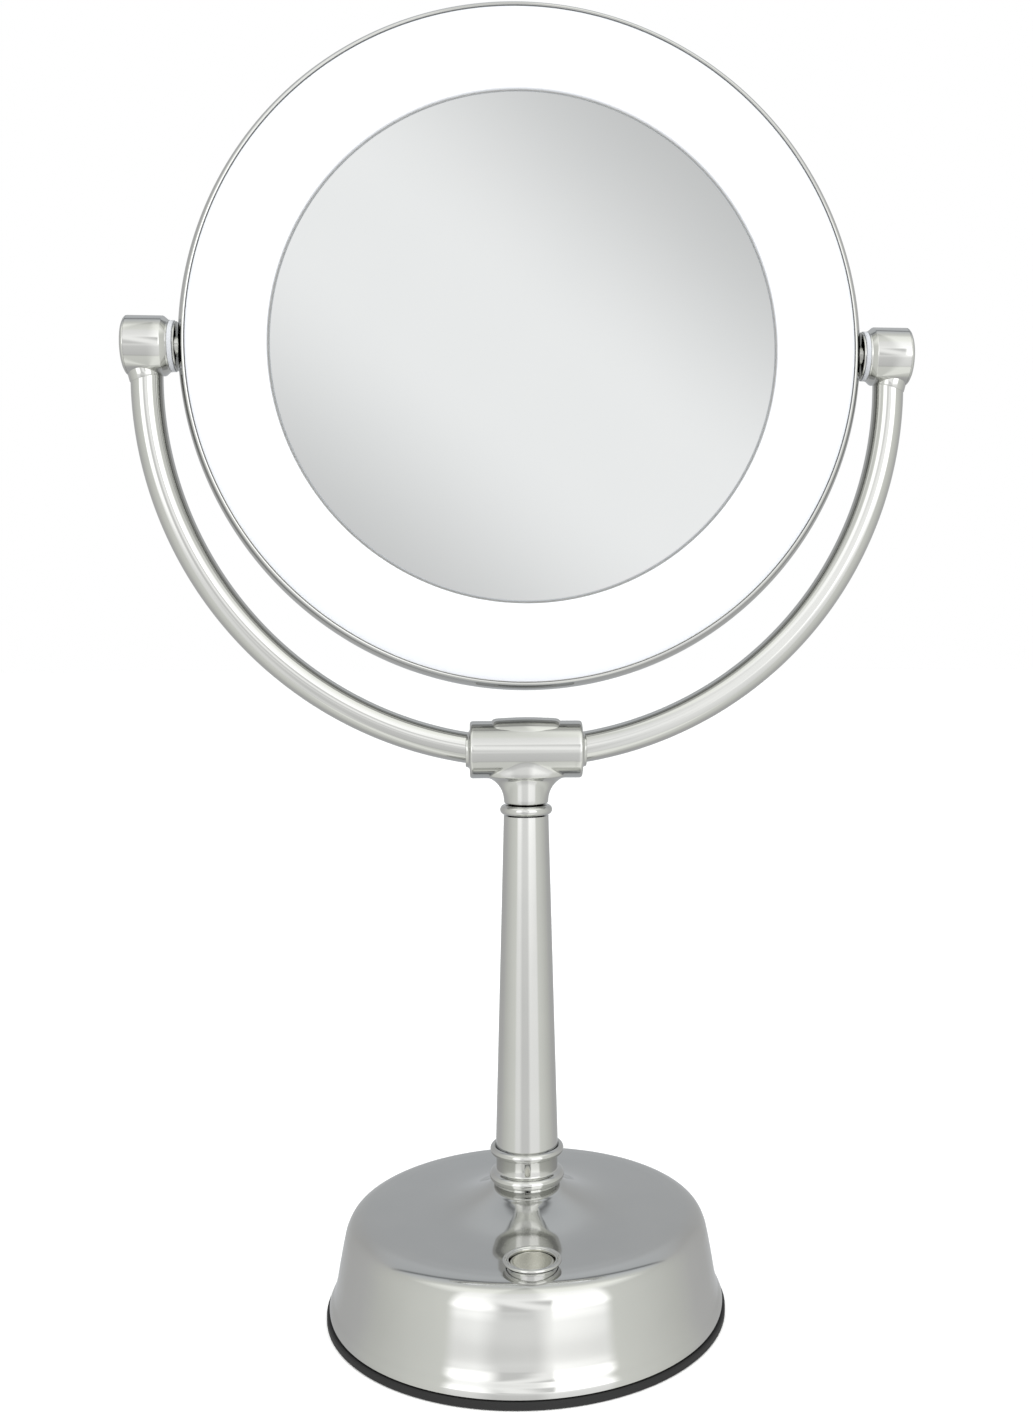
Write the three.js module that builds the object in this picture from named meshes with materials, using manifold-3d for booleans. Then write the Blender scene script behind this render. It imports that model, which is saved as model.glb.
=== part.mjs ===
// A free-standing lighted vanity mirror: a round two-sided lighted head hung in a U-shaped
// yoke, on a tapered column that rises from a weighted round base.
// Millimetres, +Z up, the front faces -Y. The origin is the centre of the base, on the table.

import * as THREE from "three";
import { mergeVertices } from "three/addons/utils/BufferGeometryUtils.js";
import Module from "manifold-3d";

const wasm = await Module();
wasm.setup();

// ---------------------------------------------------------------- driving dimensions
const GAP = 0.3; // clearance between pieces that touch on the real mirror

const HEAD_R = 119; // outer radius of the lighted head
const HEAD_HALF = 8.6; // half the head's thickness at its rim
const MIRROR_R = 87.6; // radius of either glass
const GLASS = 3; // thickness of the glass
const DIFFUSER_WALL = 2;
const REAR_SAG = 5.5; // depth of the concave, magnifying glass

const HUB_Z = 340.5; // height of the tilt axis
const HUB_R = 10.2;
const HUB_INNER_X = 121.4; // the face of a hub that looks at the head
const HUB_OUTER_X = 137.9; // the crown of a hub's domed cap
const SHAFT_R = 3.8; // the hollow trunnion that the head turns on
const FLANGE_R = 8.7;
const FLANGE = [119.3, 119.7]; // near and far face of the trunnion's flange
const TRUNNION_END_X = HUB_OUTER_X - 4;

const ARM_R = 5.45; // yoke tube
const ARM_WALL = 1.2;
const ARM_BEND = 129.7; // radius of the yoke's bend, at the middle of the tube
const ARM_CENTRE_Z = 329.5;

const TEE_Z = 200.7; // axis of the tee's cross barrel
const TEE_R = 10.15;
const TEE_HALF = 19.85;
const NOSE_END = 21.3;
const NECK_R = 7.9;
const NECK_Z = 181.5;

const TOP_BEAD_Z = 179.4;
const COLUMN_TOP_R = 7.95;
const COLUMN_TOP_Z = 177.3;
const COLUMN_FOOT_R = 11.15;
const COLUMN_FOOT_Z = 57.4;
const COLLAR_Z = 45.5; // underside of the collar
const BEADS = { low: 13.35, high: 13.1 }; // outer radii of the collar's two beads
const COLLAR_BAND_R = 10.95;

const ROD_R = 5; // hollow threaded rod that clamps column and base
const ROD_BORE = 3.2;
const ROD_HOLE = ROD_R + GAP;

const BASE_TOP_Z = COLLAR_Z - GAP; // the base's highest point, under the collar
const SHELL_WALL = 1.2;
const LIP_R = 70; // bottom edge of the chromed shell
const FOOT_R = 71;
const FOOT_HEIGHT = 2.8;
const LIP_Z = FOOT_HEIGHT + GAP;

const BUTTON_Y = -50.5;
const BUTTON_Z = 37; // the shell's top where the button sits
const BUTTON_R = 7.3;
const BEZEL_R = 9.65;

const CELL_R = 7.1;
const CELL_LENGTH = 49.5;
const CELL_PITCH = 14.5;
const CELL_Z = 11.4;
const TRAY = { x: 26.3, front: -55.6, back: -11.4, roof: 20.2, wall: 1.4 };
const DOOR = { x: 27.9, front: -57.2, back: -9.8, low: 1.2, high: 2.9 };
const COVER_R = 66;
const COVER_TOP = 4;
const BALLAST = { low: 23.4, high: 28.4, radius: 57 };
const SCREW_AT = [
  [44, 28],
  [-44, 28],
  [44, -22],
  [-44, -22],
];
const SCREW_R = 1.5;
const BOARD = { x: 22, front: 14, back: 42, low: 8, thick: 1.6 };
const INLET_Z = 13;

// ---------------------------------------------------------------- finishes
const finish = (color, roughness, metalness, emissive = 0x000000) =>
  new THREE.MeshStandardMaterial({ color, roughness, metalness, emissive });
const chrome = () => finish(0xc9cac6, 0.08, 1);
const steel = () => finish(0x9b9c9c, 0.35, 1);
const blackPlastic = () => finish(0x1c1c1d, 0.55, 0);
const acrylic = () => finish(0xf7f9fb, 0.25, 0, 0xffffff);
const mirrorGlass = () => finish(0xe4e6e6, 0.02, 1);

// ---------------------------------------------------------------- geometry helpers
// The geometry with shared vertices merged, no flat slivers, and its faces turned outwards.
function closed(geometry) {
  const bare = new THREE.BufferGeometry();
  bare.setAttribute("position", geometry.getAttribute("position"));
  bare.setIndex(geometry.index);
  const merged = mergeVertices(bare, 1e-4);
  const from = merged.index.array;
  const p = merged.attributes.position.array;
  const faces = [];
  let volume = 0;
  for (let i = 0; i < from.length; i += 3) {
    const [a, b, c] = [from[i], from[i + 1], from[i + 2]];
    if (a === b || b === c || c === a) continue;
    faces.push([a, b, c]);
    const [u, v, w] = [a, b, c].map((k) => new THREE.Vector3().fromArray(p, 3 * k));
    volume += u.dot(v.cross(w));
  }
  merged.setIndex(faces.flatMap(([a, b, c]) => (volume < 0 ? [a, c, b] : [a, b, c])));
  return merged;
}

function solid(geometry) {
  const g = closed(geometry);
  return new wasm.Manifold(
    new wasm.Mesh({
      numProp: 3,
      vertProperties: new Float32Array(g.attributes.position.array),
      triVerts: new Uint32Array(g.index.array),
    }),
  );
}

function geometryOf(body) {
  const m = body.getMesh();
  const g = new THREE.BufferGeometry();
  g.setAttribute("position", new THREE.BufferAttribute(m.vertProperties, 3));
  g.setIndex(new THREE.BufferAttribute(m.triVerts, 1));
  return g;
}

const cut = (geometry, ...tools) =>
  geometryOf(tools.reduce((body, tool) => body.subtract(solid(tool)), solid(geometry)));
const join = (geometry, ...more) =>
  geometryOf(more.reduce((body, piece) => body.add(solid(piece)), solid(geometry)));

// A turned piece. Each profile point is [radius, distance along the axis].
function turned(profile, segments, axis = "z") {
  const points = profile.map(([r, h]) => new THREE.Vector2(r, h));
  const g = new THREE.LatheGeometry(points, segments);
  g.rotateX(Math.PI / 2);
  if (axis === "x") g.rotateY(Math.PI / 2);
  if (axis === "y") g.rotateX(-Math.PI / 2);
  return g;
}

const ring = (profile, segments, axis) => turned([...profile, profile[0]], segments, axis);
const rod = (r, low, high, segments, axis) =>
  turned([[0, low], [r, low], [r, high], [0, high]], segments, axis);
const pipe = (r0, r1, low, high, segments, axis) =>
  ring([[r0, low], [r1, low], [r1, high], [r0, high]], segments, axis);

function block(x0, x1, y0, y1, z0, z1) {
  const g = new THREE.BoxGeometry(x1 - x0, y1 - y0, z1 - z0);
  return g.translate((x0 + x1) / 2, (y0 + y1) / 2, (z0 + z1) / 2);
}

// Points on an arc, [radius, height] each, angles in degrees.
function arc(cr, ch, r, from, to, steps) {
  return Array.from({ length: steps + 1 }, (_, i) => {
    const a = THREE.MathUtils.degToRad(from + ((to - from) * i) / steps);
    return [cr + r * Math.cos(a), ch + r * Math.sin(a)];
  });
}

// A hex nut on the X or Z axis.
function nut(flat, low, high, hole, axis) {
  const corner = flat / 2 / Math.cos(Math.PI / 6);
  return cut(rod(corner, low, high, 6, axis), rod(hole, low - 1, high + 1, 20, axis));
}

const root = new THREE.Group();
root.name = "lighted_vanity_mirror";
const head = new THREE.Group();
head.position.z = HUB_Z;
root.add(head);

function piece(name, geometry, material, group = root) {
  const mesh = new THREE.Mesh(closed(geometry), material);
  mesh.name = name;
  mesh.geometry.computeVertexNormals();
  group.add(mesh);
  return mesh;
}

// ---------------------------------------------------------------- base
// The shell's outside: a low flare round the collar, a nearly flat top, a round shoulder,
// a slightly drafted wall and an ogee down to a short upright lip.
const BASE_OUTLINE = [
  [12, BASE_TOP_Z],
  [14.5, 43.6],
  [18, 41.9],
  [23, 39.9],
  [29, 38.3],
  [36, 37.4],
  [46, 36.9],
  [55, 36.4],
  [59.5, 35.4],
  [62.3, 33.6],
  [63.9, 30.6],
  [64.9, 26.5],
  [66.2, 19.5],
  [67.2, 13.5],
  [67.8, 10.6],
  [68.6, 8.2],
  [69.5, 6.4],
  [LIP_R, 5],
];

function baseShell() {
  const inward = BASE_OUTLINE.map(([r, z], i) => {
    const [r0, z0] = BASE_OUTLINE[Math.max(i - 1, 0)];
    const [r1, z1] = BASE_OUTLINE[Math.min(i + 1, BASE_OUTLINE.length - 1)];
    const n = new THREE.Vector2(z1 - z0, r0 - r1).normalize();
    return [r + SHELL_WALL * n.x, z + SHELL_WALL * n.y];
  }).filter((_, i) => i % 3 === 2);
  const shell = ring(
    [
      [ROD_HOLE, BASE_TOP_Z],
      ...BASE_OUTLINE,
      [LIP_R, LIP_Z],
      [LIP_R - SHELL_WALL, LIP_Z],
      ...inward.reverse(),
      [12, BASE_TOP_Z - SHELL_WALL],
      [ROD_HOLE, BASE_TOP_Z - SHELL_WALL],
    ],
    40,
  );
  const buttonHole = rod(8.6, 30, 45, 24).translate(0, BUTTON_Y, 0);
  const inletHole = rod(4.8, 58, 75, 20, "y").translate(0, 0, INLET_Z);
  return cut(shell, buttonHole, inletHole);
}
piece("base_shell", baseShell(), chrome());

piece(
  "foot_ring",
  ring(
    [
      [COVER_R + GAP, 0],
      [FOOT_R - 0.6, 0],
      [FOOT_R, 0.6],
      [FOOT_R, FOOT_HEIGHT],
      [COVER_R + GAP, FOOT_HEIGHT],
    ],
    40,
  ),
  finish(0x1b1b1c, 0.7, 0),
);

// The underside: a plate with the battery tray, four screw towers and four board pegs.
function bottomCover() {
  const { x, front, back, roof, wall } = TRAY;
  const plate = rod(COVER_R, DOOR.low, COVER_TOP, 40);
  const tray = block(-x - wall, x + wall, front - wall, back + wall, 3, roof + wall);
  const towers = SCREW_AT.map(([u, v]) => rod(4.6, 3, BALLAST.low - GAP, 16).translate(u, v, 0));
  const pegs = [-1, 1].flatMap((side) =>
    [BOARD.front + 4, BOARD.back - 4].map((v) =>
      rod(2, 3, BOARD.low - GAP, 10).translate(side * (BOARD.x - 4), v, 0),
    ),
  );
  const bay = block(-x, x, front, back, 0, roof);
  const ledge = block(
    -DOOR.x - GAP,
    DOOR.x + GAP,
    DOOR.front - GAP,
    DOOR.back + GAP,
    0,
    DOOR.high + GAP,
  );
  const holes = SCREW_AT.flatMap(([u, v]) => [
    rod(SCREW_R + GAP, 0, 30, 12).translate(u, v, 0),
    rod(3.4, 0, 6, 16).translate(u, v, 0),
  ]);
  return cut(join(plate, tray, ...towers, ...pegs), bay, ledge, ...holes);
}
piece("bottom_cover", bottomCover(), blackPlastic());

function batteryDoor() {
  const { x, front, back, low, high } = DOOR;
  const plate = block(-x, x, front, back, low, high);
  const grip = block(-8, 8, back - 6.5, back - 2.5, low - 0.5, low + 0.7);
  return cut(plate, grip);
}
piece("battery_door", batteryDoor(), blackPlastic());

const CELL_Y = (TRAY.front + TRAY.back) / 2;
for (const i of [0, 1, 2]) {
  const half = CELL_LENGTH / 2;
  const turn = i % 2 ? -1 : 1; // cells lie head to tail
  const outline = [
    [0, -half],
    [CELL_R, -half],
    [CELL_R, half - 1],
    [2.6, half - 1],
    [2.6, half],
    [0, half],
  ].map(([r, h]) => [r, turn * h]);
  const cell = turned(outline, 20, "x").translate(0, CELL_Y + (i - 1) * CELL_PITCH, CELL_Z);
  piece(`battery_cell_${i + 1}`, cell, finish(0x30363c, 0.35, 0.2));
}

// Sheet contacts at the two ends of the tray.
for (const [name, side] of [
  ["left", -1],
  ["right", 1],
]) {
  const near = CELL_LENGTH / 2 + GAP;
  const far = near + 0.8;
  const [x0, x1] = side > 0 ? [near, far] : [-far, -near];
  const strip = block(x0, x1, TRAY.front + 2, TRAY.back - 2, CELL_Z - 4, CELL_Z + 4);
  piece(`battery_contact_${name}`, strip, finish(0xb9a46a, 0.35, 1));
}

function ballastPlate() {
  const { low, high, radius } = BALLAST;
  const disc = rod(radius, low, high, 32);
  const holes = SCREW_AT.map(([u, v]) =>
    rod(SCREW_R + GAP, low - 1, high + 1, 12).translate(u, v, 0),
  );
  const bore = rod(ROD_HOLE, low - 1, high + 1, 20);
  const notch = block(-12, 12, -70, BUTTON_Y + 12, low - 1, high + 1);
  return cut(disc, bore, notch, ...holes);
}
piece("ballast_plate", ballastPlate(), finish(0x4a4a4a, 0.6, 0.8));

SCREW_AT.forEach(([u, v], i) => {
  const screw = turned(
    [
      [0, 2.6],
      [2.9, 2.6],
      [2.9, 4.4],
      [SCREW_R, 5.6],
      [SCREW_R, BALLAST.high - 0.5],
      [0, BALLAST.high - 0.5],
    ],
    12,
  );
  const slot = block(-2.2, 2.2, -0.4, 0.4, 2, 3.3);
  const cross = block(-0.4, 0.4, -2.2, 2.2, 2, 3.3);
  piece(`cover_screw_${i + 1}`, cut(screw, slot, cross).translate(u, v, 0), steel());
});

function controlBoard() {
  const { x, front, back, low, thick } = BOARD;
  const high = low + thick;
  const board = block(-x, x, front, back, low, high);
  const capacitor = rod(3.2, high - 0.5, high + 8, 14).translate(12, front + 9, 0);
  const chip = block(-8, -2, front + 8, front + 13, high - 0.5, high + 1.6);
  const choke = rod(4, high - 0.5, high + 4.5, 14).translate(2, back - 7, 0);
  const socket = block(-19, -12, back - 12, back - 5, high - 0.5, high + 6);
  return join(board, capacitor, chip, choke, socket);
}
piece("control_board", controlBoard(), finish(0x1f5a3a, 0.5, 0));

// The socket at the back for a low-voltage plug.
function dcInlet() {
  const body = block(-5, 5, 50, 63.5, INLET_Z - 5, INLET_Z + 5);
  const nose = rod(4.4, 62, 67.9, 20, "y").translate(0, 0, INLET_Z);
  const bore = rod(3.2, 55, 70, 20, "y").translate(0, 0, INLET_Z);
  const pin = rod(1, 54, 61, 10, "y").translate(0, 0, INLET_Z);
  return join(cut(join(body, nose), bore), pin);
}
piece("dc_inlet", dcInlet(), blackPlastic());

// ---------------------------------------------------------------- push button
piece(
  "button_bezel",
  ring(
    [
      [BUTTON_R + GAP, 33.4],
      [8.3, 33.4],
      [8.3, BUTTON_Z + 0.4],
      [BEZEL_R - 0.4, BUTTON_Z + 1.2],
      [BEZEL_R, BUTTON_Z + 1.8],
      [BEZEL_R, BUTTON_Z + 2.3],
      [BEZEL_R - 0.5, BUTTON_Z + 2.75],
      [BUTTON_R + 0.8, BUTTON_Z + 2.65],
      [BUTTON_R + GAP, BUTTON_Z + 2.3],
    ],
    24,
  ).translate(0, BUTTON_Y, 0),
  chrome(),
);

const SWITCH_TOP = 29.6;
function pushButton() {
  const top = BUTTON_Z + 1.7;
  const cap = turned(
    [
      [0, 23.8],
      [1.9, 23.8],
      [1.9, 34.4],
      [BUTTON_R, 34.4],
      [BUTTON_R, top - 0.4],
      [BUTTON_R - 0.5, top],
      [0, top],
    ],
    24,
  );
  return cap.translate(0, BUTTON_Y, 0);
}
piece("push_button", pushButton(), chrome());

function switchBody() {
  const body = block(-7, 7, -7, 7, 22, SWITCH_TOP);
  const well = rod(1.9 + GAP, 19, 31, 16);
  return cut(body, well).translate(0, BUTTON_Y, 0);
}
piece("switch_body", switchBody(), finish(0x2a2a2c, 0.5, 0));

function buttonSpring() {
  const [turns, coil, wire] = [3, 3.4, 0.35];
  const low = SWITCH_TOP + GAP + wire;
  const high = 34.4 - GAP - wire;
  const points = Array.from({ length: turns * 9 + 1 }, (_, i) => {
    const t = i / (turns * 9);
    const a = 2 * Math.PI * turns * t;
    return new THREE.Vector3(coil * Math.cos(a), coil * Math.sin(a), low + (high - low) * t);
  });
  const section = new THREE.Shape().absarc(0, 0, wire, 0, 2 * Math.PI);
  const g = new THREE.ExtrudeGeometry(section, {
    steps: turns * 9,
    curveSegments: 3,
    bevelEnabled: false,
    extrudePath: new THREE.CatmullRomCurve3(points),
  });
  return g.translate(0, BUTTON_Y, 0);
}
piece("button_spring", buttonSpring(), steel());

// ---------------------------------------------------------------- clamping rod
const NUT_TOP = BALLAST.low - GAP;
piece("tie_rod", pipe(ROD_BORE, ROD_R, 15, 196, 20), steel());
piece("tie_rod_nut", nut(15, NUT_TOP - 6, NUT_TOP, ROD_HOLE, "z"), steel());
piece("spacer_sleeve", pipe(ROD_HOLE, 8, BALLAST.high + GAP, 41.9, 20), steel());
piece("clamp_washer", pipe(ROD_HOLE, 9.4, 42.2, 43.6, 20), steel());

// ---------------------------------------------------------------- column
// A neck, a bead, a plain band and a second bead, with a cup for the tube's foot.
piece(
  "column_collar",
  ring(
    [
      [ROD_HOLE, COLLAR_Z],
      [11.6, COLLAR_Z],
      [11.6, 46.2],
      ...arc(BEADS.low - 1.9, 48.1, 1.9, -70, 70, 4),
      [COLLAR_BAND_R, 50.2],
      [COLLAR_BAND_R, 55.9],
      ...arc(BEADS.high - 1.6, 57.5, 1.6, -70, 75, 4),
      [COLUMN_FOOT_R + GAP, 58.6],
      [COLUMN_FOOT_R + GAP, COLUMN_FOOT_Z - GAP],
      [ROD_HOLE, COLUMN_FOOT_Z - GAP],
    ],
    24,
  ),
  chrome(),
);
piece(
  "column_tube",
  ring(
    [
      [COLUMN_FOOT_R - 1.3, COLUMN_FOOT_Z],
      [COLUMN_FOOT_R, COLUMN_FOOT_Z],
      [COLUMN_TOP_R, COLUMN_TOP_Z],
      [COLUMN_TOP_R - 1.3, COLUMN_TOP_Z],
    ],
    24,
  ),
  chrome(),
);
piece(
  "column_top_bead",
  ring(
    [
      [ROD_HOLE, COLUMN_TOP_Z + GAP],
      ...arc(7.5, TOP_BEAD_Z, 1.75, -80, 80, 4),
      [ROD_HOLE, NECK_Z - GAP],
    ],
    24,
  ),
  chrome(),
);

// ---------------------------------------------------------------- yoke
// The tee: a cross barrel with a stepped nose at each end, on a neck whose sides sweep out
// under the barrel. The neck is a flare drawn in to the neck's own depth from front to back.
function tee() {
  const half = [
    [TEE_R, 0],
    [TEE_R, TEE_HALF - 1],
    [TEE_R - 0.8, TEE_HALF],
    [7.4, TEE_HALF],
    [7, NOSE_END],
  ];
  const barrelOutline = [
    ...half.toReversed().map(([r, h]) => [r, -h]),
    ...half.slice(1),
  ];
  const barrel = turned([[0, -NOSE_END], ...barrelOutline, [0, NOSE_END]], 24, "x");
  barrel.translate(0, 0, TEE_Z);
  const flare = turned(
    [
      [0, NECK_Z],
      [NECK_R, NECK_Z],
      ...arc(NECK_R + 9, NECK_Z + 1, 9, 180, 105, 6),
      [14.5, TEE_Z - 5],
      [0, TEE_Z],
    ],
    24,
  );
  const p = flare.getAttribute("position");
  for (let i = 0; i < p.count; i++) {
    const r = Math.hypot(p.getX(i), p.getY(i));
    if (r > NECK_R) p.setY(i, (p.getY(i) * NECK_R) / r);
  }
  const body = join(barrel, flare);
  const sockets = [-1, 1].map((side) =>
    rod(6.6, 12.9, 30, 20, "x").rotateZ(side > 0 ? 0 : Math.PI).translate(0, 0, TEE_Z),
  );
  const duct = rod(3.6, -20, 20, 16, "x").translate(0, 0, TEE_Z);
  const bore = rod(ROD_HOLE, NECK_Z - 1, TEE_Z, 20);
  return cut(body, ...sockets, duct, bore);
}
piece("tee_fitting", tee(), chrome());

// A thin curved plate on top of the tee, over the place where the leads are joined.
function teeCover() {
  const [inner, outer] = [TEE_R + GAP, TEE_R + GAP + 1];
  const from = THREE.MathUtils.degToRad(52);
  const to = Math.PI - from;
  const shape = new THREE.Shape();
  shape.absarc(0, 0, outer, from, to, false);
  shape.absarc(0, 0, inner, to, from, true);
  const g = new THREE.ExtrudeGeometry(shape, {
    depth: 23.4,
    curveSegments: 10,
    bevelEnabled: false,
  });
  return g.translate(0, 0, -11.7).rotateX(Math.PI / 2).rotateZ(Math.PI / 2).translate(0, 0, TEE_Z);
}
piece("tee_top_cover", teeCover(), chrome());

// One yoke tube: out of the tee, round the bend and straight up under the hub.
class ArmPath extends THREE.Curve {
  constructor(side, startX, topZ) {
    super();
    Object.assign(this, { side, topZ });
    this.start = Math.asin(startX / ARM_BEND);
    this.bend = ARM_BEND * (Math.PI / 2 - this.start);
    this.total = this.bend + topZ - ARM_CENTRE_Z;
  }
  getPoint(t, target = new THREE.Vector3()) {
    const s = t * this.total;
    const a = this.start + Math.min(s, this.bend) / ARM_BEND;
    const rise = Math.max(s - this.bend, 0);
    return target.set(
      this.side * ARM_BEND * Math.sin(a),
      0,
      ARM_CENTRE_Z - ARM_BEND * Math.cos(a) + rise,
    );
  }
}

function arm(side) {
  const section = new THREE.Shape().absarc(0, 0, ARM_R, 0, 2 * Math.PI);
  section.holes.push(new THREE.Path().absarc(0, 0, ARM_R - ARM_WALL, 0, 2 * Math.PI));
  const tube = new THREE.ExtrudeGeometry(section, {
    steps: 18,
    curveSegments: 6,
    bevelEnabled: false,
    extrudePath: new ArmPath(side, 14, HUB_Z - 4),
  });
  return cut(tube, hubAxis(rod(HUB_R + GAP, 110, 150, 32, "x"), side));
}

// Moves a piece turned about the X axis to the tilt axis, and to the left for side -1.
const hubAxis = (geometry, side) =>
  geometry.rotateZ(side > 0 ? 0 : Math.PI).translate(0, 0, HUB_Z);

const SIDES = [
  ["left", -1],
  ["right", 1],
];
const NUT_FACE = 129.4;
for (const [name, side] of SIDES) {
  piece(`yoke_arm_${name}`, arm(side), chrome());

  const hub = ring(
    [
      [SHAFT_R + GAP, HUB_INNER_X],
      [8.8, HUB_INNER_X],
      [8.8, 122.1],
      [HUB_R, 123.6],
      [HUB_R, HUB_OUTER_X - 2.4],
      [8.2, HUB_OUTER_X - 2.4],
      [8.2, 127.6],
      [SHAFT_R + GAP, 127.6],
    ],
    24,
    "x",
  );
  const leadHole = rod(2.4, -HUB_R - 2, -6, 14).translate(ARM_BEND, 0, 0);
  piece(`hub_${name}`, hubAxis(cut(hub, leadHole), side), chrome());

  const cap = turned(
    [
      [0, HUB_OUTER_X - 3.2],
      [7.9, HUB_OUTER_X - 3.2],
      [7.9, HUB_OUTER_X - 2.1],
      [HUB_R, HUB_OUTER_X - 2.1],
      [HUB_R - 0.4, HUB_OUTER_X - 1.3],
      [8.4, HUB_OUTER_X - 0.6],
      [5, HUB_OUTER_X - 0.1],
      [0, HUB_OUTER_X],
    ],
    24,
    "x",
  );
  piece(`hub_cap_${name}`, hubAxis(cap, side), chrome());

  const spacer = pipe(SHAFT_R + GAP, FLANGE_R, FLANGE[1] + GAP, HUB_INNER_X - GAP, 28, "x");
  piece(`pivot_spacer_${name}`, hubAxis(spacer, side), finish(0xb9bcc2, 0.5, 0));
}

// The lamp lead, from the board up the rod, through the tee and along the left arm.
class LeadPath extends THREE.Curve {
  constructor() {
    super();
    this.arm = new ArmPath(-1, 16, 328);
    const stand = [
      [-15.5, 26, 16.5],
      [-13, 19, 19],
      [-7.5, 10, 14],
      [-1.5, 2.2, 8.5],
      [0, 0, 15],
      [0, 0, 40],
      [0, 0, 120],
      [0, 0, 190],
      [-1.5, 0, 198],
      [-9, 0, 200.8],
    ].map((v) => new THREE.Vector3(...v));
    this.stand = new THREE.CatmullRomCurve3(stand, false, "centripetal");
    this.share = this.stand.getLength() / (this.stand.getLength() + this.arm.total);
  }
  getPoint(t) {
    if (t <= this.share) return this.stand.getPointAt(t / this.share);
    return this.arm.getPoint((t - this.share) / (1 - this.share));
  }
}
const lead = new THREE.ExtrudeGeometry(new THREE.Shape().absarc(0, 0, 1.1, 0, 2 * Math.PI), {
  steps: 52,
  curveSegments: 3,
  bevelEnabled: false,
  extrudePath: new LeadPath(),
});
piece("lamp_lead", lead, finish(0xd8d8d4, 0.6, 0));

// ---------------------------------------------------------------- head
// Everything here is laid out round the tilt axis; the front glass faces -Y.
const RIM_HALF_OUTLINE = [
  [HEAD_R, 2.2],
  [118.4, 5.2],
  [116.9, 7.9],
  [116.3, HEAD_HALF],
  [115.7, HEAD_HALF],
  [115.7, 5],
  [114.6, 4],
];
const mirrored = (outline) => outline.toReversed().map(([r, h]) => [r, -h]);

function rimBand() {
  const band = ring([...RIM_HALF_OUTLINE, ...mirrored(RIM_HALF_OUTLINE)], 40, "y");
  return cut(band, rod(SHAFT_R + GAP, -130, 130, 20, "x"));
}
piece("rim_band", rimBand(), chrome(), head);

// The white ring round a glass, slightly crowned, with its inner edge turned back.
const diffuserOutline = [
  [115.4, 5.3],
  [115.4, 8.3],
  [110, 9.2],
  [103, 9.5],
  [95, 9],
  [MIRROR_R + 0.6, 7.6],
  [MIRROR_R + 0.6, 7.6 - DIFFUSER_WALL],
  [103, 9.5 - DIFFUSER_WALL],
];
for (const [name, side] of [
  ["front", -1],
  ["rear", 1],
]) {
  const outline = diffuserOutline.map(([r, h]) => [r, side * h]);
  piece(`${name}_diffuser`, ring(outline, 40, "y"), acrylic(), head);
}

const MIRROR_FACE = 7; // distance of a glass's face from the head's middle, at its edge
piece("front_mirror", rod(MIRROR_R, -MIRROR_FACE, GLASS - MIRROR_FACE, 40, "y"), mirrorGlass(), head);

function rearMirror() {
  const steps = 4;
  const face = Array.from({ length: steps + 1 }, (_, i) => {
    const share = i / steps;
    return [MIRROR_R * share, MIRROR_FACE - REAR_SAG * (1 - share ** 2)];
  });
  const back = face.toReversed().map(([r, h]) => [r, h - GLASS]);
  return turned([...face, ...back], 40, "y");
}
piece("rear_mirror", rearMirror(), mirrorGlass(), head);

// The frame between the glasses, with the light strip wrapped round its outside.
const FRAME_R = 91;
const FRAME_HALF = MIRROR_FACE - GLASS - GAP;
piece(
  "light_frame",
  pipe(84, FRAME_R, -FRAME_HALF, FRAME_HALF - 0.5, 40, "y"),
  finish(0xe9e9e6, 0.6, 0),
  head,
);

function lightStrip() {
  const tape = pipe(FRAME_R + GAP, FRAME_R + GAP + 0.8, -3.2, 3.2, 40, "y");
  const count = 18;
  const lamps = Array.from({ length: count }, (_, i) => {
    const face = FRAME_R + GAP + 0.4;
    return block(face, face + 1.8, -1.6, 1.6, -1.6, 1.6).rotateY((2 * Math.PI * (i + 0.5)) / count);
  });
  return join(tape, ...lamps);
}
piece("light_strip", lightStrip(), finish(0xf2ecd0, 0.4, 0, 0xfff6e0), head);

for (const [name, side] of SIDES) {
  const onAxis = (geometry) => geometry.rotateZ(side > 0 ? 0 : Math.PI);

  // The trunnion: a hollow shaft with a flange outside the rim.
  const trunnion = ring(
    [
      [2, 108],
      [SHAFT_R, 108],
      [SHAFT_R, FLANGE[0]],
      [FLANGE_R, FLANGE[0]],
      [FLANGE_R, FLANGE[1]],
      [SHAFT_R, FLANGE[1]],
      [SHAFT_R, TRUNNION_END_X],
      [2, TRUNNION_END_X],
    ],
    20,
    "x",
  );
  piece(`trunnion_${name}`, onAxis(trunnion), chrome(), head);
  piece(`trunnion_nut_${name}`, onAxis(nut(9, 109, 113.2, SHAFT_R + GAP, "x")), steel(), head);

  const wave = pipe(SHAFT_R + GAP, 7.4, 128.3, 128.7, 24, "x");
  const p = wave.getAttribute("position");
  for (let i = 0; i < p.count; i++) {
    p.setX(i, p.getX(i) + 0.35 * Math.cos(3 * Math.atan2(p.getZ(i), p.getY(i))));
  }
  piece(`wave_washer_${name}`, onAxis(wave), steel(), head);
  const lock = nut(11, NUT_FACE, NUT_FACE + 4, SHAFT_R + GAP, "x");
  piece(`pivot_nut_${name}`, onAxis(lock), steel(), head);
}

export default root;
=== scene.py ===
import math

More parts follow.
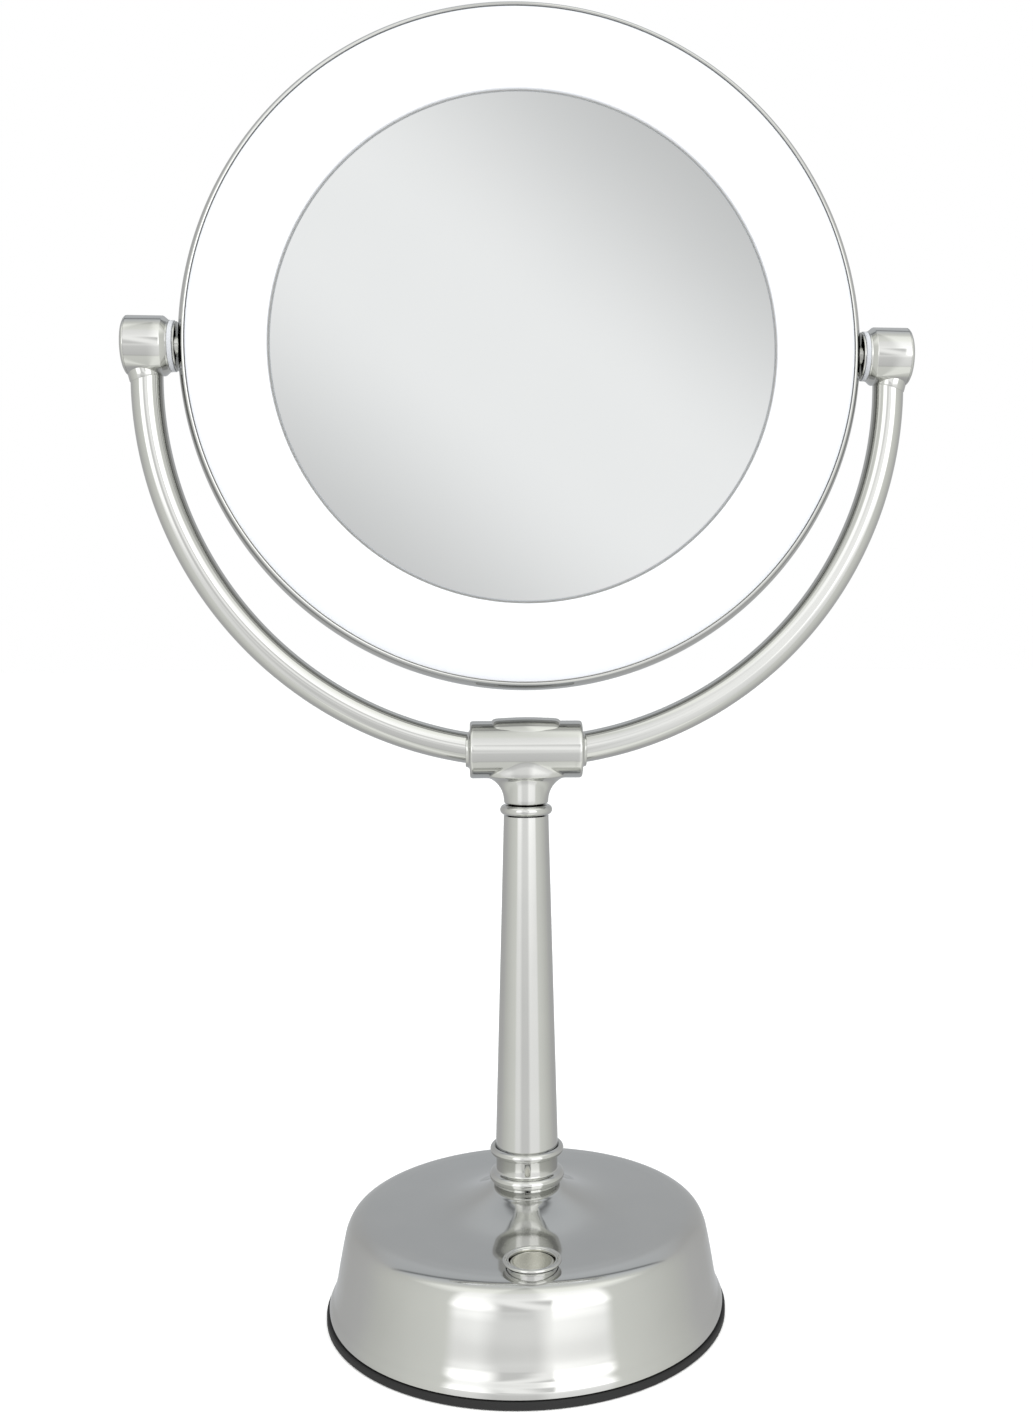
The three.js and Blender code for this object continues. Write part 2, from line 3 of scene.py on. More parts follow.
import bpy
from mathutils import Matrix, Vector


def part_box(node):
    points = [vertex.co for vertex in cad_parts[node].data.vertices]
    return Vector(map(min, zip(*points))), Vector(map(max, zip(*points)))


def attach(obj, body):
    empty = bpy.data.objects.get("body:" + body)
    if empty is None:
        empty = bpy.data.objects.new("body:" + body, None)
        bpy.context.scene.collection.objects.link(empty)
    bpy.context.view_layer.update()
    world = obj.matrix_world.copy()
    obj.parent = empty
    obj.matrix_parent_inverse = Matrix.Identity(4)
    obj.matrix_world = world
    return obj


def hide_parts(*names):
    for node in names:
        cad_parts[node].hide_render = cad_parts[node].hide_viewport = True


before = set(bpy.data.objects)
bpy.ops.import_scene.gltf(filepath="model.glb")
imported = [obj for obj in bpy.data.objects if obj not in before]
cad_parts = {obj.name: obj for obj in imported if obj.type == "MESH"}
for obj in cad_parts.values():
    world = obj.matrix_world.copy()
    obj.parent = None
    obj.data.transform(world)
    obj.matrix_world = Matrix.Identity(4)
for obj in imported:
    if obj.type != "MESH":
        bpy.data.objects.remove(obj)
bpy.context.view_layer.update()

MM = 0.001


def span(node):
    """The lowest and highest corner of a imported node, in millimetres."""
    low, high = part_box(node)
    return low / MM, high / MM


# ------------------------------------------------------------------ sizes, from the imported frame
rim_low, rim_high = span("rim_band")
hub_low, hub_high = span("hub_right")
cap_low, cap_high = span("hub_cap_right")
tee_low, tee_high = span("tee_fitting")
tube_low, tube_high = span("column_tube")
collar_low, collar_high = span("column_collar")
shell_low, shell_high = span("base_shell")
foot_high = span("foot_ring")[1]
bezel_low, bezel_high = span("button_bezel")
button_low, button_high = span("push_button")
cover_low, cover_high = span("bottom_cover")
door_low, door_high = span("battery_door")
inlet_low, inlet_high = span("dc_inlet")
glass_low, glass_high = span("front_mirror")

TILT_Z = (rim_low.z + rim_high.z) / 2
HEAD_R = rim_high.x
GLASS_R = glass_high.x
HUB_R = hub_high.y
TEE_R = tee_high.y
TEE_Z = tee_high.z - TEE_R
NECK_Z = tee_low.z
NECK_R = 7.9
ARM_R = 5.45
ARM_BEND = 129.7
ARM_CENTRE_Z = TEE_Z - 0.9 + ARM_BEND
ROD_R = 5.3
FOOT_R = foot_high.x
BUTTON_Y = (bezel_low.y + bezel_high.y) / 2
SIDES = (("left", -1), ("right", 1))


# ------------------------------------------------------------------ materials
def linear(code):
    """An sRGB hex colour as linear red, green, blue and alpha."""
    parts = [int(code[i : i + 2], 16) / 255 for i in (1, 3, 5)]
    return [c / 12.92 if c <= 0.04045 else ((c + 0.055) / 1.055) ** 2.4 for c in parts] + [1.0]


def add_node(tree, kind, settings=None, inputs=None):
    """Adds a node. An input given as a socket is linked, and any other value is set on it."""
    node = tree.nodes.new(kind)
    for name, value in (settings or {}).items():
        setattr(node, name, value)
    for name, value in (inputs or {}).items():
        if isinstance(value, bpy.types.NodeSocket):
            tree.links.new(value, node.inputs[name])
        else:
            node.inputs[name].default_value = value
    return node


def new_finish(name, settings):
    """A material with one Principled shader, and the Object coordinates that patterns read."""
    finish = bpy.data.materials.new(name)
    finish.use_nodes = True
    tree = finish.node_tree
    tree.nodes.clear()
    shader = add_node(tree, "ShaderNodeBsdfPrincipled", inputs=settings)
    add_node(tree, "ShaderNodeOutputMaterial", inputs={"Surface": shader.outputs["BSDF"]})
    place = add_node(tree, "ShaderNodeTexCoord").outputs["Object"]
    return finish, tree, shader, place


def polished_chrome():
    # Bright decorative chrome, plated over buffed metal: a mirror that takes about half the
    # light, with a trace of buffing haze and a plating surface that is never dead flat.
    finish, tree, shader, place = new_finish("polished_chrome_plate", {"Metallic": 1.0})
    haze = add_node(
        tree,
        "ShaderNodeTexNoise",
        inputs={"Vector": place, "Scale": 45.0, "Detail": 3.0, "Roughness": 0.55},
    )
    tint = add_node(
        tree,
        "ShaderNodeMix",
        {"data_type": "RGBA"},
        {"Factor": haze.outputs["Fac"], "A": linear("#C3C4C2"), "B": linear("#CBCBC8")},
    )
    gloss = add_node(
        tree,
        "ShaderNodeMapRange",
        inputs={"Value": haze.outputs["Fac"], "To Min": 0.045, "To Max": 0.1},
    )
    # Plating ripple about 6 mm across and a tenth of a micron or so high, drawn a little
    # stronger so that long reflections waver slightly.
    ripple = add_node(
        tree, "ShaderNodeTexNoise", inputs={"Vector": place, "Scale": 160.0, "Detail": 1.0}
    )
    bump = add_node(
        tree,
        "ShaderNodeBump",
        inputs={"Strength": 0.25, "Distance": 0.00002, "Height": ripple.outputs["Fac"]},
    )
    tree.links.new(tint.outputs["Result"], shader.inputs["Base Color"])
    tree.links.new(gloss.outputs["Result"], shader.inputs["Roughness"])
    tree.links.new(bump.outputs["Normal"], shader.inputs["Normal"])
    return finish


def satin_button():
    # The button's cap: chrome plate over a finely lapped face, so it is softer and warmer than
    # the bright parts round it. Lapping rings are 0.4 mm apart.
    finish, tree, shader, place = new_finish("satin_button_plate", {"Metallic": 1.0})
    centred = add_node(
        tree,
        "ShaderNodeMapping",
        inputs={"Vector": place, "Location": (0.0, -BUTTON_Y * MM, 0.0)},
    )
    rings = add_node(
        tree,
        "ShaderNodeTexWave",
        {"wave_type": "RINGS", "rings_direction": "Z"},
        {"Vector": centred.outputs["Vector"], "Scale": 400.0, "Distortion": 1.5},
    )
    tint = add_node(
        tree,
        "ShaderNodeMix",
        {"data_type": "RGBA"},
        {"Factor": rings.outputs["Fac"], "A": linear("#C4C3B8"), "B": linear("#CFCEC4")},
    )
    bump = add_node(
        tree,
        "ShaderNodeBump",
        inputs={"Strength": 0.12, "Distance": 0.00002, "Height": rings.outputs["Fac"]},
    )
    shader.inputs["Roughness"].default_value = 0.16
    tree.links.new(tint.outputs["Result"], shader.inputs["Base Color"])
    tree.links.new(bump.outputs["Normal"], shader.inputs["Normal"])
    return finish


def silvered_glass():
    # Float glass with a silver coat behind it: the sharpest surface here, faintly cool, with
    # only the least haze from wiping.
    finish, tree, shader, place = new_finish("silvered_glass", {"Metallic": 1.0})
    wipe = add_node(
        tree,
        "ShaderNodeTexNoise",
        inputs={"Vector": place, "Scale": 9.0, "Detail": 4.0, "Roughness": 0.6},
    )
    tint = add_node(
        tree,
        "ShaderNodeMix",
        {"data_type": "RGBA"},
        {"Factor": wipe.outputs["Fac"], "A": linear("#C4C6C6"), "B": linear("#C9CACA")},
    )
    haze = add_node(
        tree,
        "ShaderNodeMapRange",
        inputs={"Value": wipe.outputs["Fac"], "To Min": 0.0, "To Max": 0.03},
    )
    tree.links.new(tint.outputs["Result"], shader.inputs["Base Color"])
    tree.links.new(haze.outputs["Result"], shader.inputs["Roughness"])
    return finish


def lit_acrylic():
    # Opal acrylic, turned and lit from behind: its glow is painted on as emission in place of the
    # strip's light shining through it, and painted shade makes it a touch bluer and dimmer towards
    # its rim; the moulding's flow shows as faint rings a few millimetres apart in the painted glow.
    finish, tree, shader, place = new_finish(
        "lit_opal_acrylic", {"Base Color": linear("#C9CBD0"), "Roughness": 0.3, "IOR": 1.49}
    )
    centred = add_node(
        tree,
        "ShaderNodeMapping",
        inputs={"Vector": place, "Location": (0.0, 0.0, -TILT_Z * MM)},
    )
    flat = add_node(
        tree,
        "ShaderNodeVectorMath",
        {"operation": "MULTIPLY"},
        {0: centred.outputs["Vector"], 1: (1.0, 0.0, 1.0)},
    )
    radius = add_node(
        tree, "ShaderNodeVectorMath", {"operation": "LENGTH"}, {0: flat.outputs["Vector"]}
    )
    # Painted shade: the glow dims and turns bluer over the outer rim, from 104 to 116 mm out.
    painted_rim_shade = add_node(
        tree,
        "ShaderNodeMapRange",
        {"interpolation_type": "SMOOTHSTEP"},
        {
            "Value": radius.outputs["Value"],
            "From Min": 0.104,
            "From Max": 0.116,
            "To Min": 1.0,
            "To Max": 0.35,
        },
    )
    flow = add_node(
        tree,
        "ShaderNodeTexWave",
        {"wave_type": "RINGS", "rings_direction": "Y"},
        {"Vector": centred.outputs["Vector"], "Scale": 60.0, "Distortion": 2.0},
    )
    streak = add_node(
        tree,
        "ShaderNodeMapRange",
        inputs={"Value": flow.outputs["Fac"], "To Min": 0.94, "To Max": 1.0},
    )
    level = add_node(
        tree,
        "ShaderNodeMath",
        {"operation": "MULTIPLY"},
        {0: painted_rim_shade.outputs["Result"], 1: streak.outputs["Result"]},
    )
    # Painted glow: this emission colour stands in for the light strip's light through the acrylic.
    painted_glow = add_node(
        tree,
        "ShaderNodeMix",
        {"data_type": "RGBA"},
        {"Factor": level.outputs["Value"], "A": linear("#6C7078"), "B": linear("#FDFEFF")},
    )
    shader.inputs["Emission Strength"].default_value = 0.3
    tree.links.new(painted_glow.outputs["Result"], shader.inputs["Emission Color"])
    return finish


def moulded(name, low, high, roughness, grain, depth):
    """Moulded plastic or rubber: two close shades, and the fine grain of the mould's wall.
    grain is the grain's width and depth its height, in millimetres."""
    finish, tree, shader, place = new_finish(name, {"Roughness": roughness, "IOR": 1.5})
    spark = add_node(
        tree,
        "ShaderNodeTexNoise",
        inputs={"Vector": place, "Scale": 1 / (grain * MM), "Detail": 2.0},
    )
    cloud = add_node(
        tree, "ShaderNodeTexNoise", inputs={"Vector": place, "Scale": 60.0, "Detail": 2.0}
    )
    tint = add_node(
        tree,
        "ShaderNodeMix",
        {"data_type": "RGBA"},
        {"Factor": cloud.outputs["Fac"], "A": linear(low), "B": linear(high)},
    )
    bump = add_node(
        tree,
        "ShaderNodeBump",
        inputs={"Strength": 0.5, "Distance": depth * MM, "Height": spark.outputs["Fac"]},
    )
    tree.links.new(tint.outputs["Result"], shader.inputs["Base Color"])
    tree.links.new(bump.outputs["Normal"], shader.inputs["Normal"])
    return finish


def worked_metal(name, low, high, rough_low, rough_high, grain):
    """Metal left as it was made: grain is the size in millimetres of its mottling."""
    finish, tree, shader, place = new_finish(name, {"Metallic": 1.0})
    mottle = add_node(
        tree,
        "ShaderNodeTexNoise",
        inputs={"Vector": place, "Scale": 1 / (grain * MM), "Detail": 4.0, "Roughness": 0.6},
    )
    tint = add_node(
        tree,
        "ShaderNodeMix",
        {"data_type": "RGBA"},
        {"Factor": mottle.outputs["Fac"], "A": linear(low), "B": linear(high)},
    )
    gloss = add_node(
        tree,
        "ShaderNodeMapRange",
        inputs={"Value": mottle.outputs["Fac"], "To Min": rough_low, "To Max": rough_high},
    )
    bump = add_node(
        tree,
        "ShaderNodeBump",
        inputs={"Strength": 0.3, "Distance": 0.00005, "Height": mottle.outputs["Fac"]},
    )
    tree.links.new(tint.outputs["Result"], shader.inputs["Base Color"])
    tree.links.new(gloss.outputs["Result"], shader.inputs["Roughness"])
    tree.links.new(bump.outputs["Normal"], shader.inputs["Normal"])
    return finish


def printed_board():
    # Glass-fibre board under green solder mask: copper tracks, about 2 mm apart, show as
    # slightly lighter, slightly raised lines.
    finish, tree, shader, place = new_finish("green_circuit_board", {"Roughness": 0.35})
    track = add_node(
        tree,
        "ShaderNodeTexBrick",
        inputs={
            "Vector": place,
            "Color1": linear("#1B5136"),
            "Color2": linear("#1F5A3C"),
            "Mortar": linear("#3B8058"),
            "Scale": 1.0,
            "Mortar Size": 0.0003,
            "Brick Width": 0.006,
            "Row Height": 0.002,
        },
    )
    bump = add_node(
        tree,
        "ShaderNodeBump",
        inputs={"Strength": 0.4, "Distance": 0.00004, "Height": track.outputs["Fac"]},
    )
    tree.links.new(track.outputs["Color"], shader.inputs["Base Color"])
    tree.links.new(bump.outputs["Normal"], shader.inputs["Normal"])
    return finish


def cell_sleeve():
    # A dry cell's printed film: dark grey with a copper-coloured band at the positive end.
    finish, tree, shader, place = new_finish(
        "cell_sleeve_film", {"Roughness": 0.28, "Metallic": 0.35}
    )
    axes = add_node(tree, "ShaderNodeSeparateXYZ", inputs={"Vector": place})
    band = add_node(
        tree,
        "ShaderNodeMath",
        {"operation": "GREATER_THAN"},
        {0: axes.outputs["X"], 1: 0.012},
    )
    scuff = add_node(
        tree, "ShaderNodeTexNoise", inputs={"Vector": place, "Scale": 300.0, "Detail": 3.0}
    )
    tint = add_node(
        tree,
        "ShaderNodeMix",
        {"data_type": "RGBA"},
        {"Factor": band.outputs["Value"], "A": linear("#2B2F33"), "B": linear("#A8713F")},
    )
    bump = add_node(
        tree,
        "ShaderNodeBump",
        inputs={"Strength": 0.2, "Distance": 0.00002, "Height": scuff.outputs["Fac"]},
    )
    tree.links.new(tint.outputs["Result"], shader.inputs["Base Color"])
    tree.links.new(bump.outputs["Normal"], shader.inputs["Normal"])
    return finish


def lamp_strip():
    # The flexible light strip: a white tape whose warm light comes and goes between lamps.
    finish, tree, shader, place = new_finish("lamp_strip_tape", {"Roughness": 0.4})
    patch = add_node(
        tree, "ShaderNodeTexNoise", inputs={"Vector": place, "Scale": 120.0, "Detail": 1.0}
    )
    tint = add_node(
        tree,
        "ShaderNodeMix",
        {"data_type": "RGBA"},
        {"Factor": patch.outputs["Fac"], "A": linear("#E8E2CC"), "B": linear("#FFF9EC")},
    )
    shader.inputs["Emission Strength"].default_value = 0.8
    tree.links.new(tint.outputs["Result"], shader.inputs["Base Color"])
    tree.links.new(tint.outputs["Result"], shader.inputs["Emission Color"])
    return finish


CHROME = polished_chrome()
SATIN = satin_button()
GLASS = silvered_glass()
ACRYLIC = lit_acrylic()
# Soft black rubber, moulded with a matt grain.
RUBBER = moulded("black_rubber_moulding", "#0E0E0F", "#161617", 0.62, 0.5, 0.02)
# Black ABS from a spark-eroded mould, a little glossier.
ABS = moulded("black_abs_moulding", "#1A1A1B", "#212122", 0.42, 0.45, 0.03)
# The switch's own plastic, smoother still.
SWITCH = moulded("switch_nylon_moulding", "#262628", "#2E2E30", 0.38, 0.8, 0.01)
# Natural nylon, turned: milky grey and slightly waxy.
NYLON = moulded("natural_nylon_washer", "#B7BAC0", "#C6C8CC", 0.42, 0.6, 0.01)
# White polystyrene that backs the light strip.
WHITE = moulded("white_styrene_moulding", "#E2E2DF", "#EFEFEC", 0.5, 0.7, 0.02)
# PVC round the lamp's two conductors.
SHEATH = moulded("white_pvc_sheath", "#D2D2CE", "#DEDEDA", 0.5, 0.8, 0.01)
# Bright zinc on steel nuts, rod and washers.
ZINC = worked_metal("zinc_plated_steel", "#9A9C9E", "#B4B5B5", 0.22, 0.4, 2.0)
# The weight in the base: sand-cast iron, dark and rough.
IRON = worked_metal("cast_iron_weight", "#3B3B3C", "#565553", 0.55, 0.8, 1.2)
# Spring contacts and the inlet's pin: nickel over brass, faintly yellow.
CONTACT = worked_metal("nickelled_brass_contact", "#B9A876", "#CBBE95", 0.2, 0.35, 1.5)
BOARD = printed_board()
SLEEVE = cell_sleeve()
STRIP = lamp_strip()

# What each carried-over node is made of. They are all inside the mirror.
NODE_FINISH = {
    "ballast_plate": IRON,
    "battery_contact_left": CONTACT,
    "battery_contact_right": CONTACT,
    "control_board": BOARD,
    "switch_body": SWITCH,
    "button_spring": ZINC,
    "tie_rod": ZINC,
    "tie_rod_nut": ZINC,
    "spacer_sleeve": ZINC,
    "clamp_washer": ZINC,
    "lamp_lead": SHEATH,
    "light_frame": WHITE,
    "light_strip": STRIP,
    "trunnion_nut_left": ZINC,
    "trunnion_nut_right": ZINC,
    "wave_washer_left": ZINC,
    "wave_washer_right": ZINC,
    "pivot_nut_left": ZINC,
    "pivot_nut_right": ZINC,
}


# ------------------------------------------------------------------ modelling helpers
def clear_selection():
    if bpy.context.object and bpy.context.object.mode != "OBJECT":
        bpy.ops.object.mode_set(mode="OBJECT")
    bpy.ops.object.select_all(action="DESELECT")


def pick(piece):
    """Makes piece the only one selected."""
    clear_selection()
    piece.select_set(True)
    bpy.context.view_layer.objects.active = piece


def arc(centre_r, centre_h, radius, start, end, steps):
    """Points on an arc, [radius, height] each; the angles are in degrees."""
    turns = [math.radians(start + (end - start) * i / steps) for i in range(steps + 1)]
    return [(centre_r + radius * math.cos(a), centre_h + radius * math.sin(a)) for a in turns]


def flowing(points, steps=5):
    """A smooth curve through the points, with steps spans between each two."""
    padded = [Vector(p) for p in (points[0], *points, points[-1])]
    padded[0] = 2 * padded[1] - padded[2]
    padded[-1] = 2 * padded[-2] - padded[-3]
    knots = [0.0]
    for a, b in zip(padded, padded[1:]):
        knots.append(knots[-1] + math.sqrt(max((b - a).length, 1e-6)))
    line = [tuple(padded[1])]
    for i in range(1, len(padded) - 2):
        p0, p1, p2, p3 = padded[i - 1 : i + 3]
        t0, t1, t2, t3 = knots[i - 1 : i + 3]
        for step in range(1, steps + 1):
            t = t1 + (t2 - t1) * step / steps
            a1 = p0.lerp(p1, (t - t0) / (t1 - t0))
            a2 = p1.lerp(p2, (t - t1) / (t2 - t1))
            a3 = p2.lerp(p3, (t - t2) / (t3 - t2))
            b1 = a1.lerp(a2, (t - t0) / (t2 - t0))
            b2 = a2.lerp(a3, (t - t1) / (t3 - t1))
            line.append(tuple(b1.lerp(b2, (t - t1) / (t2 - t1))))
    return line


def smooth(piece, angle=35):
    pick(piece)
    bpy.ops.object.shade_smooth_by_angle(angle=math.radians(angle))


def apply_modifier(piece, kind, **settings):
    """Adds a modifier, gives it its settings and applies it."""
    pick(piece)
    modifier = piece.modifiers.new(kind.title(), kind)
    for name, value in settings.items():
        setattr(modifier, name, value)
    bpy.ops.object.modifier_apply(modifier=modifier.name)


def soften(piece, width, segments=2):
    """Breaks the sharp edges, width in millimetres."""
    apply_modifier(
        piece,
        "BEVEL",
        width=width * MM,
        segments=segments,
        limit_method="ANGLE",
        angle_limit=math.radians(38),
        use_clamp_overlap=True,
    )


TURN_TO = {
    "+x": (0.0, math.pi / 2, 0.0),
    "-x": (0.0, -math.pi / 2, 0.0),
    "+y": (-math.pi / 2, 0.0, 0.0),
    "-y": (math.pi / 2, 0.0, 0.0),
    "+z": (0.0, 0.0, 0.0),
}


def turned(name, outline, centre=(0, 0, 0), axis="+z", segments=128, closed=True):
    """A turned piece: its half outline is drawn point by point and spun round the axis.
    outline holds (radius, distance along the axis); centre is a point on the axis."""
    clear_selection()
    points = [Vector((r * MM, 0.0, h * MM)) for r, h in outline]
    if closed:
        points.append(points[0])
    bpy.ops.mesh.primitive_plane_add(size=0.001, location=points[0])
    piece = bpy.context.object
    piece.name = piece.data.name = name
    bpy.ops.object.mode_set(mode="EDIT")
    bpy.ops.mesh.select_mode(type="VERT")
    bpy.ops.mesh.select_all(action="SELECT")
    bpy.ops.mesh.merge(type="CENTER")
    for start, end in zip(points, points[1:]):
        bpy.ops.mesh.extrude_region_move(TRANSFORM_OT_translate={"value": end - start})
    bpy.ops.mesh.select_all(action="SELECT")
    bpy.ops.mesh.spin(
        steps=segments,
        angle=2 * math.pi,
        use_auto_merge=True,
        center=(0.0, 0.0, 0.0),
        axis=(0.0, 0.0, 1.0),
    )
    bpy.ops.mesh.select_all(action="SELECT")
    bpy.ops.mesh.remove_doubles(threshold=2e-6)
    bpy.ops.mesh.normals_make_consistent(inside=False)
    bpy.ops.object.mode_set(mode="OBJECT")
    bpy.ops.object.transform_apply(location=True, rotation=True, scale=True)
    piece.rotation_euler = TURN_TO[axis]
    piece.location = Vector(centre) * MM
    bpy.ops.object.transform_apply(location=True, rotation=True, scale=True)
    return piece


def block(name, low, high):
    """A rectangular blank between two corners, to be shaped further."""
    clear_selection()
    low, high = Vector(low) * MM, Vector(high) * MM
    bpy.ops.mesh.primitive_cube_add(size=1, location=(low + high) / 2, scale=high - low)
    piece = bpy.context.object
    piece.name = piece.data.name = name
    bpy.ops.object.transform_apply(location=True, rotation=True, scale=True)
    return piece


def combine(piece, tool, operation):
    """Cuts a tool out of a piece, or adds it on, and throws the tool away."""
    apply_modifier(piece, "BOOLEAN", operation=operation, object=tool, solver="EXACT")
    bpy.data.objects.remove(tool)


def copy_of(piece, name, shift):
    """A copy with its own mesh, moved by shift millimetres."""
    pick(piece)
    bpy.ops.object.duplicate()
    double = bpy.context.object
    double.name = double.data.name = name
    double.location = Vector(shift) * MM
    bpy.ops.object.transform_apply(location=True, rotation=True, scale=True)
    return double


def fit(piece, body, finish, slot, *nodes):
    """Paints a finished piece, hangs it on its body, and puts it in the place of its nodes."""
    piece.data.materials.clear()
    piece.data.materials.append(finish)
    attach(piece, body)
    if nodes:
        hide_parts(*nodes)
    return piece


# ------------------------------------------------------------------ base
def base_shell():
    top, lip = shell_high.z, shell_low.z
    flare = flowing(
        [(14.5, 43.6), (18, 41.9), (23, 39.9), (29, 38.3), (36, 37.4), (46, 36.9), (54, 36.5)]
    )
    shoulder = flowing([(54, 36.5), (58.6, 35.8), (62, 33.9), (63.9, 30.6), (64.9, 26.5)])
    wall = flowing([(64.9, 26.5), (66.2, 19.5), (67.2, 13.5), (67.8, 10.6)])
    ogee = flowing([(67.8, 10.6), (68.5, 8.2), (69.4, 6.5), (70, 5.1)])
    inside = [(68.8, lip), (68.5, 5.6), (66.4, 10.6), (63.6, 26), (61, 32), (54, 35.2), (36, 36.1)]
    bore = [(18, 40.5), (12, 44), (ROD_R, 44), (ROD_R, top)]
    outline = [(12, top), *flare, *shoulder[1:], *wall[1:], *ogee[1:], (70, lip), *inside, *bore]
    shell = turned("chromed_base_shell", outline, segments=192)
    smooth(shell)
    polished = copy_of(shell, "uncut_shell", (0, 0, 0))
    button_hole = turned(
        "button_hole", [(0, 30), (8.6, 30), (8.6, 45), (0, 45)], (0, BUTTON_Y, 0), closed=False
    )
    combine(shell, button_hole, "DIFFERENCE")
    inlet_z = (inlet_low.z + inlet_high.z) / 2
    inlet_hole = turned(
        "inlet_hole", [(0, 60), (4.8, 60), (4.8, 75), (0, 75)], (0, 0, inlet_z), "+y", closed=False
    )
    combine(shell, inlet_hole, "DIFFERENCE")
    # Near the holes the cut shell takes the uncut one's smooth surface, so they leave no dents.
    smooth(shell)
    near_holes = shell.vertex_groups.new(name="near_holes")
    lip_top = (lip + 4) * MM
    near_holes.add([v.index for v in shell.data.vertices if v.co.z > lip_top], 1.0, "REPLACE")
    apply_modifier(
        shell,
        "DATA_TRANSFER",
        object=polished,
        vertex_group="near_holes",
        use_loop_data=True,
        data_types_loops={"CUSTOM_NORMAL"},
        loop_mapping="POLYINTERP_NEAREST",
    )
    bpy.data.objects.remove(polished)
    fit(shell, "stand", CHROME, "chrome_plate", "base_shell")


def foot_ring():
    inner = 66.3
    groove = [p for r in (67.6, 69.2) for p in ((r - 0.3, 0), (r, 0.6), (r + 0.3, 0))]
    side = [(FOOT_R - 0.5, 0), (FOOT_R, 0.5), (FOOT_R, 2.4), (FOOT_R - 0.4, foot_high.z)]
    ring = turned(
        "rubber_foot_ring",
        [(inner, 0.4), (inner + 0.4, 0), *groove, *side, (inner, foot_high.z)],
        segments=160,
    )
    smooth(ring, 30)
    fit(ring, "stand", RUBBER, "black_rubber", "foot_ring")


def screw_places():
    return [tuple((Vector(a) + Vector(b)) / 2) for a, b in (span(f"cover_screw_{i}") for i in (1, 2, 3, 4))]


def bottom_cover():
    """The plate under the base, with the battery tray and the screw towers on it."""
    low, high, radius = cover_low.z, 4.0, cover_high.x
    groove = [(62, low), (61.7, low + 0.4), (60.6, low + 0.4), (60.3, low)]
    cover = turned(
        "moulded_bottom_cover",
        [(0, high), (radius, high), (radius, low + 0.4), (radius - 0.4, low), *groove, (0, low)],
        segments=128,
        closed=False,
    )
    ledge = 0.3
    wall = 1.4
    tray_top = cover_high.z - 1.5
    tray_low = (-26.3, -55.6, low - 1)
    tray_high = (26.3, -11.4, tray_top - wall)
    body = block(
        "tray_walls",
        (tray_low[0] - wall, tray_low[1] - wall, low + 1.9),
        (tray_high[0] + wall, tray_high[1] + wall, tray_top),
    )
    combine(cover, body, "UNION")
    for x, y, _ in screw_places():
        tower = turned("tower", [(0, 3), (4.6, 3), (4.6, 23), (0, 23)], (x, y, 0), segments=40, closed=False)
        combine(cover, tower, "UNION")
    combine(cover, block("bay", tray_low, tray_high), "DIFFERENCE")
    door_seat = block(
        "door_seat",
        (door_low.x - ledge, door_low.y - ledge, low - 1),
        (door_high.x + ledge, door_high.y + ledge, door_high.z + ledge),
    )
    combine(cover, door_seat, "DIFFERENCE")
    for x, y, _ in screw_places():
        recess = turned(
            "recess",
            [(0, 0), (3.4, 0), (3.4, 6), (1.8, 6), (1.8, 30), (0, 30)],
            (x, y, 0),
            segments=40,
            closed=False,
        )
        combine(cover, recess, "DIFFERENCE")
    soften(cover, 0.15, 1)
    smooth(cover, 30)
    fit(cover, "stand", ABS, "black_abs", "bottom_cover")


def battery_door():
    door = block("battery_door_panel", tuple(door_low), tuple(door_high))
    back = door_high.y
    notch = block("grip", (-8, back - 6.5, 0), (8, back - 2.5, door_low.z + 0.7))
    combine(door, notch, "DIFFERENCE")
    for i in range(5):
        y = back - 12 - 2.2 * i
        rib = block("rib", (-9, y - 0.45, 0), (9, y + 0.45, door_low.z + 0.35))
        combine(door, rib, "DIFFERENCE")
    soften(door, 0.18)
    smooth(door, 30)
    fit(door, "door", ABS, "black_abs", "battery_door")


def battery_cells():
    low, high = span("battery_cell_1")
    radius, half = (high.y - low.y) / 2, (high.x - low.x) / 2
    crimp = [(0, -half), (5.4, -half), (6.8, -half + 0.15), (radius, -half + 0.6)]
    head = [(radius, half - 1.5), (radius - 0.4, half - 1.05), (3.1, half - 1), (2.6, half - 0.6)]
    first = turned(
        "dry_cell_1",
        [*crimp, *head, (2.6, half - 0.2), (2.3, half), (0, half)],
        (0, (low.y + high.y) / 2, (low.z + high.z) / 2),
        "+x",
        64,
        closed=False,
    )
    smooth(first, 40)
    pitch = span("battery_cell_2")[0].y - low.y
    for i in (1, 2, 3):
        cell = first if i == 1 else copy_of(first, f"dry_cell_{i}", (0, pitch * (i - 1), 0))
        fit(cell, "stand", SLEEVE, "cell_sleeve", f"battery_cell_{i}")


def cover_screws():
    low, high = span("cover_screw_1")
    places = screw_places()
    head = [(0, low.z), (2.5, low.z), (2.9, low.z + 0.4), (2.9, low.z + 1.8), (1.5, low.z + 3)]
    thread = []
    z = low.z + 3.6
    while z < high.z - 1.2:
        thread += [(1.5, z), (1.2, z + 0.3), (1.5, z + 0.6)]
        z += 0.9
    x, y, _ = places[0]
    screw = turned(
        "cover_screw_blank",
        [*head, *thread, (0.4, high.z), (0, high.z)],
        (x, y, 0),
        segments=36,
        closed=False,
    )
    for wide, deep in ((2.1, 0.38), (0.38, 2.1)):
        slot = block(
            "driver_slot", (x - wide, y - deep, low.z - 1), (x + wide, y + deep, low.z + 1.0)
        )
        combine(screw, slot, "DIFFERENCE")
    smooth(screw, 40)
    for i, (u, v, _) in enumerate(places, 1):
        one = copy_of(screw, f"cross_head_screw_{i}", (u - x, v - y, 0))
        fit(one, "stand", ZINC, "zinc_steel", f"cover_screw_{i}")
    bpy.data.objects.remove(screw)


